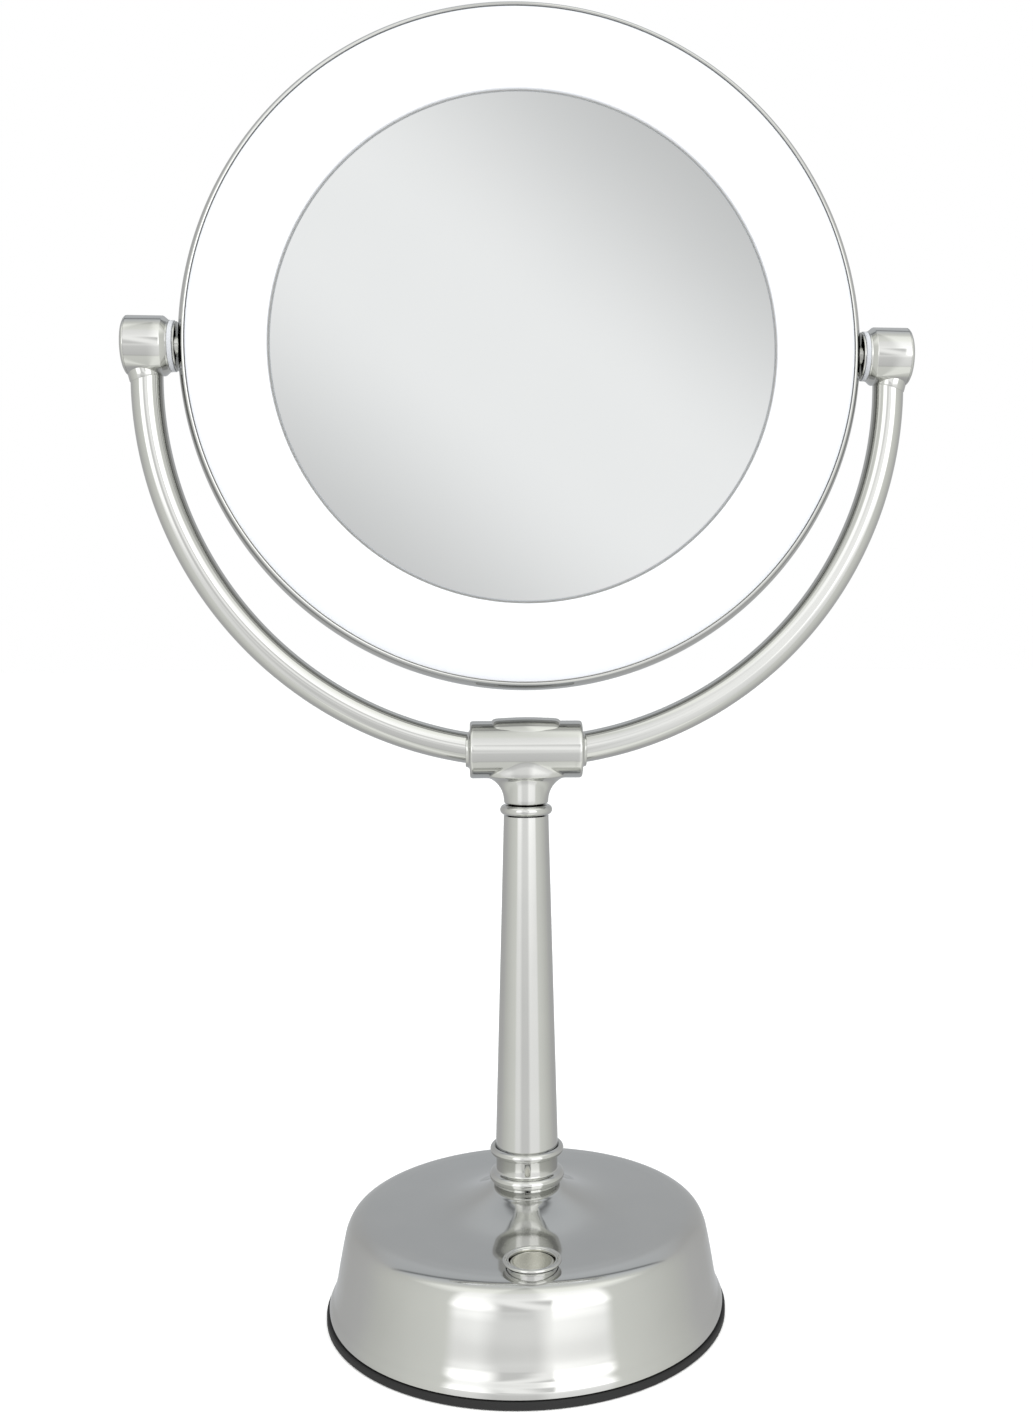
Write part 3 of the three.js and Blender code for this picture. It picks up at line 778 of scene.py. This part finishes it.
def power_inlet():
    """The low-voltage socket at the back: a housing, a round nose and a centre pin."""
    z = (inlet_low.z + inlet_high.z) / 2
    tip = inlet_high.y
    housing = block("inlet_housing", (-5, 50, z - 5), (5, 63.3, z + 5))
    soften(housing, 0.5)
    bore = turned("inlet_bore", [(0, 55), (3.2, 55), (3.2, 70), (0, 70)], (0, 0, z), "+y", 64, closed=False)
    combine(housing, bore, "DIFFERENCE")
    smooth(housing, 30)
    fit(housing, "stand", ABS, "black_abs", "dc_inlet")
    lip = [(3.2, tip - 0.7), (3.7, tip), (4.1, tip), (4.4, tip - 0.3), (4.4, 62)]
    nose = turned("inlet_nose", [(3.2, 62), *lip], (0, 0, z), "+y", 64)
    smooth(nose, 40)
    fit(nose, "stand", ABS, "black_abs", "dc_inlet")
    pin = turned(
        "inlet_pin",
        [(0, 54), (1, 54), (1, 60.4), (0.8, 60.8), (0.4, 61), (0, 61)],
        (0, 0, z),
        "+y",
        40,
        closed=False,
    )
    smooth(pin, 40)
    fit(pin, "stand", CONTACT, "contact_metal", "dc_inlet")


# ------------------------------------------------------------------ push button
def button_and_bezel():
    top, out = bezel_high.z, bezel_high.x
    bead, seat = out - 0.7, button_high.x + 0.3
    # A round outer bead, a fine valley, and a smaller bead round the button. The skirt draws
    # in below them and reaches down past the flat top, where the shell falls away in front.
    skirt = flowing(
        [(8.35, top - 3.6), (8.4, top - 2.3), (8.8, top - 1.5), (out - 0.25, top - 1.0)], 5
    )
    beads = [*arc(bead, top - 0.7, 0.7, -10, 150, 14), *arc(seat + 0.35, top - 0.65, 0.35, 35, 180, 8)]
    bezel = turned(
        "button_bezel_ring",
        [(seat, bezel_low.z), (8.3, bezel_low.z), *skirt, *beads],
        (0, BUTTON_Y, 0),
        segments=96,
    )
    smooth(bezel, 40)
    fit(bezel, "stand", CHROME, "chrome_plate", "button_bezel")
    high, low, r = button_high.z, button_low.z, button_high.x
    dish = [(0, high - 0.12), (2.4, high - 0.1), (4.8, high - 0.04), (r - 0.75, high)]
    edge = [(r - 0.4, high - 0.06), (r - 0.05, high - 0.35), (r, high - 0.8)]
    button = turned(
        "push_button_cap",
        [*flowing(dish, 3), *edge, (r, 34.4), (1.9, 34.4), (1.9, low), (0, low)],
        (0, BUTTON_Y, 0),
        segments=96,
        closed=False,
    )
    smooth(button, 40)
    fit(button, "button", SATIN, "chrome_plate", "push_button")


# ------------------------------------------------------------------ column
def column():
    low, high = collar_low.z, collar_high.z
    foot = tube_high.x
    lower, upper, band = collar_high.x, collar_high.x - 0.25, 10.95
    collar = turned(
        "two_bead_collar",
        [
            (ROD_R, low - 0.25),
            (11.5, low - 0.25),
            (11.6, low - 0.15),
            (11.6, low + 0.6),
            *arc(lower - 1.9, low + 2.6, 1.9, -72, 68, 14),
            *arc(band + 0.7, low + 5.2, 0.7, 250, 180, 5),
            *arc(band + 0.7, low + 9.8, 0.7, 180, 110, 5),
            *arc(upper - 1.6, low + 12, 1.6, -70, 76, 14),
            (foot + 0.6, high - 0.05),
            (foot + 0.2, high - 0.3),
            (foot + 0.2, tube_low.z - 0.3),
            (ROD_R, tube_low.z - 0.3),
        ],
        segments=128,
    )
    smooth(collar, 40)
    fit(collar, "stand", CHROME, "chrome_plate", "column_collar")
    neck = 7.95
    wall = 1.3
    rise = 12
    sides = [
        (foot + (neck - foot) * i / rise, tube_low.z + (tube_high.z - tube_low.z) * i / rise)
        for i in range(rise + 1)
    ]
    tube = turned(
        "tapered_column_tube",
        [(foot - wall, tube_low.z), *sides, (neck - wall, tube_high.z)],
        segments=144,
    )
    smooth(tube, 40)
    fit(tube, "stand", CHROME, "chrome_plate", "column_tube")
    bead_low, bead_high = span("column_top_bead")
    ring_r = bead_high.x - 1.75
    middle = (bead_low.z + bead_high.z) / 2
    bead_ring = turned(
        "column_top_ring",
        [(ROD_R, bead_low.z), *arc(ring_r, middle, 1.75, -80, 80, 20), (ROD_R, bead_high.z + 0.25)],
        segments=128,
    )
    smooth(bead_ring, 40)
    fit(bead_ring, "stand", CHROME, "chrome_plate", "column_top_bead")


# ------------------------------------------------------------------ yoke
def tee():
    """The cast tee: a cross barrel and a neck, run together with a soft fillet."""
    half = tee_high.x
    end = 19.85
    nose = flowing([(6.9, end), (6.3, end + 0.5), (6.15, end + 0.9), (6.1, half)], 4)
    shoulder = [(TEE_R, end - 1.1), *arc(TEE_R - 0.9, end - 0.9, 0.9, 20, 90, 5)]
    right = [(TEE_R, 0), *shoulder, *nose]
    left = [(r, -h) for r, h in reversed(right[1:])]
    barrel = turned(
        "cast_tee",
        [(0, -half), *left, *right, (0, half)],
        (0, 0, TEE_Z),
        "+x",
        120,
        closed=False,
    )
    neck = turned(
        "neck",
        [(0, NECK_Z), (NECK_R, NECK_Z), (NECK_R, TEE_Z), (0, TEE_Z)],
        segments=96,
        closed=False,
    )
    flare = [(NECK_R, NECK_Z), *arc(NECK_R + 9, NECK_Z + 1, 9, 180, 102, 12), (15, TEE_Z - 5)]
    web = turned("web", [(0, NECK_Z), *flare, (0, TEE_Z)], segments=96, closed=False)
    # The flare is drawn in from front to back, ring by ring, to make a web at each side.
    pick(web)
    for r, h in flare[2:]:
        bpy.ops.object.mode_set(mode="EDIT")
        bpy.ops.mesh.select_all(action="DESELECT")
        bpy.ops.object.mode_set(mode="OBJECT")
        for v in web.data.vertices:
            v.select = abs(v.co.z - h * MM) < 1e-6 and v.co.xy.length > NECK_R * MM
        spread = (r - NECK_R) / 7.1
        depth = 6.4 + (NECK_R - 6.4) * max(0, 1 - 5 * spread) + 2.7 * spread**1.5
        bpy.ops.object.mode_set(mode="EDIT")
        bpy.ops.transform.resize(value=(1.0, depth / r, 1.0), center_override=(0.0, 0.0, h * MM))
    bpy.ops.object.mode_set(mode="OBJECT")
    combine(barrel, neck, "UNION")
    combine(barrel, web, "UNION")
    apply_modifier(barrel, "REMESH", mode="VOXEL", voxel_size=0.28 * MM, use_smooth_shade=True)
    apply_modifier(barrel, "SMOOTH", factor=0.5, iterations=6)
    fillet = barrel.vertex_groups.new(name="fillet")
    under = TEE_Z - 3.5
    near_neck = [
        v.index for v in barrel.data.vertices if v.co.z < under * MM and abs(v.co.x) < 17.5 * MM
    ]
    fillet.add(near_neck, 1.0, "REPLACE")
    apply_modifier(barrel, "SMOOTH", factor=0.5, iterations=40, vertex_group="fillet")
    smooth(barrel, 60)
    fit(barrel, "stand", CHROME, "chrome_plate", "tee_fitting")


def tee_pad():
    """The low crowned pad on top of the tee. It is turned about a line above the barrel's own
    axis, so that it runs out to nothing at the front and the back."""
    low, high = span("tee_top_cover")
    lift = 3.0
    crown = high.z - TEE_Z - lift
    half = high.x + 0.5
    along = [-half, -half + 0.9, -half * 0.55, 0, half * 0.55, half - 0.9, half]
    heights = [crown - 1.3, crown - 0.62, crown - 0.22, crown, crown - 0.22, crown - 0.62, crown - 1.3]
    top = flowing(list(zip(heights, along)), 5)
    pad = turned(
        "tee_top_pad",
        [(0, -half), *top, (0, half)],
        (0, 0, TEE_Z + lift),
        "+x",
        160,
        closed=False,
    )
    smooth(pad, 60)
    fit(pad, "stand", CHROME, "chrome_plate", "tee_top_cover")


def arm(name, side):
    """A yoke tube: a ring spun round the bend's centre, then drawn straight up to the hub."""
    clear_selection()
    start = math.asin(16 / ARM_BEND)
    place = (side * 16, 0, ARM_CENTRE_Z - ARM_BEND * math.cos(start))
    bpy.ops.mesh.primitive_circle_add(
        vertices=72,
        radius=ARM_R * MM,
        location=Vector(place) * MM,
        rotation=(0.0, side * (math.pi / 2 - start), 0.0),
    )
    tube = bpy.context.object
    tube.name = tube.data.name = f"yoke_tube_{name}"
    bpy.ops.object.transform_apply(location=True, rotation=True, scale=True)
    bpy.ops.object.mode_set(mode="EDIT")
    bpy.ops.mesh.select_all(action="SELECT")
    bpy.ops.mesh.spin(
        steps=110,
        angle=math.pi / 2 - start,
        center=(0.0, 0.0, ARM_CENTRE_Z * MM),
        axis=(0.0, side, 0.0),
    )
    rise = TILT_Z - 9.0 - ARM_CENTRE_Z
    bpy.ops.mesh.extrude_region_move(TRANSFORM_OT_translate={"value": (0, 0, rise * MM)})
    bpy.ops.mesh.select_all(action="SELECT")
    bpy.ops.mesh.normals_make_consistent(inside=False)
    bpy.ops.object.mode_set(mode="OBJECT")
    apply_modifier(tube, "SOLIDIFY", thickness=1.2 * MM, offset=-1.0)
    smooth(tube, 40)
    fit(tube, "stand", CHROME, "chrome_plate", f"yoke_arm_{name}")


def hub(name, side):
    """One pivot housing with its domed cap, and the foot that meets the yoke tube."""
    centre = (0, 0, TILT_Z)
    axis = "+x" if side > 0 else "-x"
    inner = hub_low.x
    seam = hub_high.x
    shaft = 4.1
    housing = turned(
        f"pivot_housing_{name}",
        [
            (shaft, inner),
            (8.6, inner),
            (8.8, inner + 0.2),
            (8.8, inner + 0.6),
            (HUB_R - 0.15, inner + 2.05),
            (HUB_R, inner + 2.4),
            (HUB_R, seam),
            (8.2, seam),
            (8.2, 127.6),
            (shaft, 127.6),
        ],
        centre,
        axis,
        128,
    )
    smooth(housing, 40)
    fit(housing, "stand", CHROME, "chrome_plate", f"hub_{name}")
    crown = cap_high.x
    dome = flowing([(0, crown), (3.5, crown - 0.12), (6.6, crown - 0.5), (8.8, crown - 1.0)], 4)
    edge = [(9.7, crown - 1.45), (HUB_R - 0.06, crown - 1.9), (HUB_R, seam + 0.06)]
    cap = turned(
        f"domed_cap_{name}",
        [*dome, *edge, (7.9, seam + 0.06), (7.9, cap_low.x), (0, cap_low.x)],
        centre,
        axis,
        128,
        closed=False,
    )
    smooth(cap, 40)
    fit(cap, "stand", CHROME, "chrome_plate", f"hub_cap_{name}")
    hub_foot(name, side)
    low, high = span("pivot_spacer_right")
    near, far = low.x - 0.15, inner + 0.02
    spacer = turned(
        f"nylon_spacer_{name}",
        [(shaft, near), (high.y - 0.2, near), (high.y, near + 0.2), (high.y, far - 0.15)]
        + [(high.y - 0.15, far), (shaft, far)],
        centre,
        axis,
        96,
    )
    smooth(spacer, 30)
    fit(spacer, "stand", NYLON, "nylon_washer", f"pivot_spacer_{name}")


def hub_foot(name, side):
    """The socket cast under a hub. Its outer side leans out to meet the hub's domed end."""
    rim_r = ARM_R + 0.12
    centre = side * ARM_BEND
    levels = [-11.4, -10.9, -9.6, -8.0, -6.0, -3.6]
    leans = [0.0, 0.75, 2.0, 3.0, 3.6, 3.75]
    rings = [(rim_r + (0.0 if h == levels[0] else 0.2), h) for h in levels]
    foot = turned(
        f"tube_socket_{name}",
        [(4.3, levels[0]), *rings, (4.3, levels[-1])],
        (centre, 0, TILT_Z),
        segments=96,
    )
    drop = 0.26
    for h, out in zip(levels, leans):
        height = (TILT_Z + h) * MM
        bpy.ops.object.mode_set(mode="OBJECT")
        for v in foot.data.vertices:
            away = side * (v.co.x - centre * MM)
            v.select = abs(v.co.z - height) < 1e-6 and (out == 0 or away > 0.0001)
        bpy.ops.object.mode_set(mode="EDIT")
        bpy.ops.mesh.select_mode(type="VERT")
        if out:
            bpy.ops.transform.resize(
                value=(1 + out / rim_r, 1.0, 1.0), center_override=(centre * MM, 0.0, height)
            )
        else:
            # The rim dips towards the outer side.
            bpy.ops.transform.rotate(
                value=-side * drop, orient_axis="Y", center_override=(centre * MM, 0.0, height)
            )
        bpy.ops.mesh.select_all(action="DESELECT")
    bpy.ops.object.mode_set(mode="OBJECT")
    smooth(foot, 60)
    fit(foot, "stand", CHROME, "chrome_plate")


# ------------------------------------------------------------------ head
def rim():
    half = rim_high.y
    crown = flowing(
        [(HEAD_R, 0), (HEAD_R, 2.2), (HEAD_R - 0.6, 5.2), (HEAD_R - 2.1, half - 0.7)]
    )
    edge = [(116.5, half - 0.15), (116.15, half), (115.8, half - 0.12), (115.7, half - 0.4)]
    front = [*crown, *edge, (115.7, 5), (114.6, 4)]
    back = [(r, -h) for r, h in reversed(front[1:])]
    band = turned("polished_rim_band", [*front, *back], (0, 0, TILT_Z), "-y", 256)
    smooth(band, 40)
    fit(band, "head", CHROME, "chrome_plate", "rim_band")


def diffuser(name, axis):
    inner = GLASS_R + 0.6
    outer = 115.4
    face = flowing([(outer - 0.4, 8.5), (110, 9.2), (103, 9.5), (95, 9), (inner + 0.5, 7.9)])
    back = [(inner, 5.6), (103, 7.5), (outer, 5.3)]
    ring = turned(
        f"opal_light_ring_{name}",
        [(outer, 8.2), *face, (inner + 0.1, 7.75), (inner, 7.5), *back],
        (0, 0, TILT_Z),
        axis,
        224,
    )
    smooth(ring, 40)
    fit(ring, "head", ACRYLIC, "lit_acrylic", f"{name}_diffuser")


def mirrors():
    face = -glass_low.y
    back = -glass_high.y
    bevel = 0.5
    flat = turned(
        "flat_mirror_glass",
        [(0, face), (40, face), (GLASS_R - bevel, face), (GLASS_R, face - bevel), (GLASS_R, back)]
        + [(0, back)],
        (0, 0, TILT_Z),
        "-y",
        224,
        closed=False,
    )
    smooth(flat, 20)
    fit(flat, "head", GLASS, "mirror_glass", "front_mirror")
    # The magnifying glass is a shallow bowl, deepest in the middle.
    sag = 5.5
    steps = 20
    reach = GLASS_R - bevel
    bowl = [(reach * i / steps, face - sag * (1 - (i / steps) ** 2)) for i in range(steps + 1)]
    rear = [(r, h - 3) for r, h in reversed(bowl)]
    curved = turned(
        "magnifying_mirror_glass",
        [*bowl, (GLASS_R, face - bevel), (GLASS_R, face - 3 + 0.2), *rear],
        (0, 0, TILT_Z),
        "+y",
        224,
        closed=False,
    )
    smooth(curved, 20)
    fit(curved, "head", GLASS, "mirror_glass", "rear_mirror")


def trunnion(name, side):
    flange, shaft = 8.7, 3.8
    end = span("trunnion_right")[1].x
    pin = turned(
        f"hollow_trunnion_{name}",
        [(2, 108), (shaft, 108), (shaft, 119.1), (flange - 0.5, 119.1), (flange - 0.3, 119.3)]
        + [(flange - 0.3, 119.6), (flange - 0.5, 119.75), (shaft, 119.75), (shaft, end - 0.2)]
        + [(shaft - 0.2, end), (2, end)],
        (0, 0, TILT_Z),
        "+x" if side > 0 else "-x",
        96,
    )
    smooth(pin, 35)
    fit(pin, "head", CHROME, "chrome_plate", f"trunnion_{name}")


base_shell()
foot_ring()
bottom_cover()
battery_door()
battery_cells()
cover_screws()
power_inlet()
button_and_bezel()
column()
tee()
tee_pad()
for which, way in SIDES:
    arm(which, way)
    hub(which, way)
    trunnion(which, way)
rim()
diffuser("front", "-y")
diffuser("rear", "+y")
mirrors()

for node_name, node_finish in NODE_FINISH.items():
    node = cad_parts[node_name]
    node.data.materials.clear()
    node.data.materials.append(node_finish)


# ------------------------------------------------------------------ stage, light and camera
def paint_stops(ramp, stops):
    """Fills a colour ramp with (place, brightness, tint) stops, at half strength."""
    elements = ramp.color_ramp.elements
    while len(elements) > 1:
        elements.remove(elements[-1])
    for i, (place, level, tint) in enumerate(stops):
        stop = elements[0] if i == 0 else elements.new(place)
        stop.position = place
        stop.color = [level * c / 2 for c in tint] + [1.0]


def fade(tree, value, start, end, first, last):
    """A soft change from one level to another while a value runs from start to end."""
    levels = {"Value": value, "From Min": start, "From Max": end, "To Min": first, "To Max": last}
    ease = add_node(tree, "ShaderNodeMapRange", {"interpolation_type": "SMOOTHSTEP"}, levels)
    return ease.outputs["Result"]


def studio_world():
    """The surround that the chrome and the glass reflect. It is not an even light: its bands and
    its patch straight ahead are set to give the chrome and the front glass their tones as seen
    from the main camera. Seen directly it is plain white."""
    world = bpy.data.worlds.new("soft_studio")
    bpy.context.scene.world = world
    world.use_nodes = True
    tree = world.node_tree
    tree.nodes.clear()
    toward = add_node(tree, "ShaderNodeTexCoord").outputs["Generated"]
    axes = add_node(tree, "ShaderNodeSeparateXYZ", inputs={"Vector": toward})
    ahead = add_node(tree, "ShaderNodeMath", {"operation": "MULTIPLY"}, {0: axes.outputs["Y"], 1: -1.0})
    # The angle over the top: 0 at the front horizon, 0.5 overhead, 1 at the back horizon.
    over = add_node(
        tree,
        "ShaderNodeMath",
        {"operation": "ARCTAN2"},
        {0: axes.outputs["Z"], 1: ahead.outputs["Value"]},
    )
    arch = add_node(
        tree,
        "ShaderNodeMapRange",
        inputs={"Value": over.outputs["Value"], "From Min": -math.pi, "From Max": math.pi},
    )
    ramp = add_node(tree, "ShaderNodeValToRGB", inputs={"Fac": arch.outputs["Result"]})
    # Degrees over the top from the front horizon, brightness, and tint.
    warm, cool, white = (0.99, 1.0, 0.96), (0.97, 1.0, 1.04), (1.0, 1.0, 1.0)
    bands = [
        (-180, 0.62, warm),
        (-120, 0.86, warm),
        (-52, 0.95, warm),
        (-47.5, 0.86, warm),
        (-46, 0.6, white),
        (-44.5, 0.8, white),
        (-30, 0.86, white),
        (-12, 0.92, white),
        (-7, 1.1, white),
        (-3, 1.35, white),
        (1, 1.7, white),
        (10, 1.7, white),
        (20, 1.5, white),
        (33, 1.3, white),
        (48, 1.2, white),
        (56, 1.12, warm),
        (74, 1.0, warm),
        (84, 0.72, warm),
        (106, 0.55, cool),
        (111, 0.16, cool),
        (116, 0.48, cool),
        (140, 0.54, cool),
        (160, 0.53, cool),
        (180, 0.6, warm),
    ]
    paint_stops(ramp, [((deg + 180) / 360, level, tint) for deg, level, tint in bands])
    # The bands get brighter outwards, from 2 degrees right and 18 degrees left of the front.
    sideways = add_node(
        tree,
        "ShaderNodeMath",
        {"operation": "ARCTAN2"},
        {0: axes.outputs["X"], 1: ahead.outputs["Value"]},
    )
    turn = sideways.outputs["Value"]
    wings = add_node(
        tree,
        "ShaderNodeMath",
        {"operation": "MULTIPLY"},
        {
            0: fade(tree, turn, math.radians(2), math.radians(14), 1.0, 1.36),
            1: fade(tree, turn, math.radians(-32), math.radians(-18), 1.3, 1.0),
        },
    )
    fronted = add_node(
        tree,
        "ShaderNodeVectorMath",
        {"operation": "SCALE"},
        {0: ramp.outputs["Color"], "Scale": wings.outputs["Value"]},
    )
    # Away to the sides the room is warm grey, and it darkens towards the back.
    swing = add_node(tree, "ShaderNodeMath", {"operation": "ABSOLUTE"}, {0: sideways.outputs["Value"]})
    around = add_node(
        tree,
        "ShaderNodeMapRange",
        inputs={"Value": swing.outputs["Value"], "From Min": 0.0, "From Max": math.pi},
    )
    walls = add_node(tree, "ShaderNodeValToRGB", inputs={"Fac": around.outputs["Result"]})
    paint_stops(
        walls,
        [
            (46 / 180, 1.0, warm),
            (70 / 180, 0.9, warm),
            (95 / 180, 0.76, warm),
            (115 / 180, 0.64, white),
            (140 / 180, 0.56, white),
            (1.0, 0.56, cool),
        ],
    )
    beside = fade(tree, swing.outputs["Value"], math.radians(42), math.radians(50), 0.0, 1.0)
    low = fade(tree, axes.outputs["Z"], 0.45, 0.8, 1.0, 0.0)
    flank = add_node(tree, "ShaderNodeMath", {"operation": "MULTIPLY"}, {0: beside, 1: low})
    room = add_node(
        tree,
        "ShaderNodeMix",
        {"data_type": "RGBA"},
        {
            "Factor": flank.outputs["Value"],
            "A": fronted.outputs["Vector"],
            "B": walls.outputs["Color"],
        },
    )
    # A patch straight ahead that covers what the front glass reflects from the main camera, and
    # some way past it. It replaces the bands with one grey that falls off from a diagonal.
    patch_grey = (0.712, 0.712, 0.712)
    brightest = 0.145
    lean = add_node(
        tree,
        "ShaderNodeVectorMath",
        {"operation": "DOT_PRODUCT"},
        {0: toward, 1: (0.62, 0.0, 0.78)},
    )
    off = add_node(
        tree, "ShaderNodeMath", {"operation": "SUBTRACT"}, {0: lean.outputs["Value"], 1: brightest}
    )
    far = add_node(tree, "ShaderNodeMath", {"operation": "ABSOLUTE"}, {0: off.outputs["Value"]})
    shade = fade(tree, far.outputs["Value"], 0.03, 0.2, 1.0, 0.64)
    patch = add_node(
        tree,
        "ShaderNodeMath",
        {"operation": "MULTIPLY"},
        {
            0: fade(tree, axes.outputs["X"], 0.195, 0.235, 1.0, 0.0),
            1: fade(tree, axes.outputs["Z"], -0.14, 0.0, 0.0, 1.0),
        },
    )
    bound = add_node(
        tree,
        "ShaderNodeMath",
        {"operation": "MULTIPLY"},
        {
            0: fade(tree, axes.outputs["X"], -0.4, -0.25, 0.0, 1.0),
            1: fade(tree, axes.outputs["Z"], 0.33, 0.45, 1.0, 0.0),
        },
    )
    there = add_node(
        tree,
        "ShaderNodeMath",
        {"operation": "MULTIPLY"},
        {0: patch.outputs["Value"], 1: bound.outputs["Value"]},
    )
    ahead_only = add_node(
        tree,
        "ShaderNodeMath",
        {"operation": "MULTIPLY"},
        {0: there.outputs["Value"], 1: fade(tree, ahead.outputs["Value"], 0.0, 0.5, 0.0, 1.0)},
    )
    slant = add_node(
        tree, "ShaderNodeVectorMath", {"operation": "SCALE"}, {0: patch_grey, "Scale": shade}
    )
    lit = add_node(
        tree,
        "ShaderNodeMix",
        {"data_type": "RGBA"},
        {
            "Factor": ahead_only.outputs["Value"],
            "A": room.outputs["Result"],
            "B": slant.outputs["Vector"],
        },
    )
    studio = add_node(
        tree, "ShaderNodeBackground", inputs={"Color": lit.outputs["Result"], "Strength": 2.0}
    )
    plain = add_node(
        tree, "ShaderNodeBackground", inputs={"Color": (1.0, 1.0, 1.0, 1.0), "Strength": 1.0}
    )
    direct = add_node(tree, "ShaderNodeLightPath")
    either = add_node(
        tree,
        "ShaderNodeMixShader",
        inputs={"Fac": direct.outputs["Is Camera Ray"], 1: studio.outputs[0], 2: plain.outputs[0]},
    )
    add_node(tree, "ShaderNodeOutputWorld", inputs={"Surface": either.outputs[0]})


def floor():
    """A pale table that is clear from below, so that the underside can be seen."""
    clear_selection()
    bpy.ops.mesh.primitive_plane_add(size=12, location=(0, 0, -0.00002))
    top = bpy.context.object
    top.name = top.data.name = "pale_floor"
    paint = bpy.data.materials.new("matt_white_floor")
    paint.use_nodes = True
    tree = paint.node_tree
    tree.nodes.clear()
    matt = add_node(
        tree,
        "ShaderNodeBsdfPrincipled",
        inputs={
            "Base Color": (0.9, 0.9, 0.9, 1.0),
            "Roughness": 1.0,
            "Specular IOR Level": 0.0,
            "Emission Color": (1.0, 1.0, 1.0, 1.0),
            "Emission Strength": 0.22,
        },
    )
    clear = add_node(tree, "ShaderNodeBsdfTransparent")
    back = add_node(tree, "ShaderNodeNewGeometry").outputs["Backfacing"]
    both = add_node(
        tree, "ShaderNodeMixShader", inputs={"Fac": back, 1: matt.outputs[0], 2: clear.outputs[0]}
    )
    add_node(tree, "ShaderNodeOutputMaterial", inputs={"Surface": both.outputs[0]})
    top.data.materials.append(paint)
    top.visible_glossy = False


def soft_light(name, place, aim, size, power):
    light = bpy.data.lights.new(name, "AREA")
    light.shape = "SQUARE"
    light.size = size
    light.energy = power
    lamp = bpy.data.objects.new(name, light)
    bpy.context.collection.objects.link(lamp)
    lamp.location = place
    lamp.rotation_euler = (Vector(aim) - Vector(place)).to_track_quat("-Z", "Y").to_euler()
    lamp.visible_camera = False
    lamp.visible_glossy = False


def camera():
    lens = bpy.data.cameras.new("camera")
    lens.lens = 36.916
    lens.sensor_width = 36
    lens.shift_x = -0.0590
    lens.shift_y = -0.0194
    lens.clip_start = 0.01
    lens.clip_end = 30
    eye = bpy.data.objects.new("camera", lens)
    bpy.context.collection.objects.link(eye)
    eye.location = (-0.0163, -0.5133, 0.2478)
    yaw, pitch = 0.08282, 0.04386
    eye.rotation_euler = (math.pi / 2 - pitch, 0.0, -yaw)
    bpy.context.scene.camera = eye


studio_world()
floor()
soft_light("overhead", (0, -0.3, 1.8), (0, 0, 0.1), 1.6, 14)
camera()
bpy.context.scene.view_settings.view_transform = "Standard"

clear_selection()
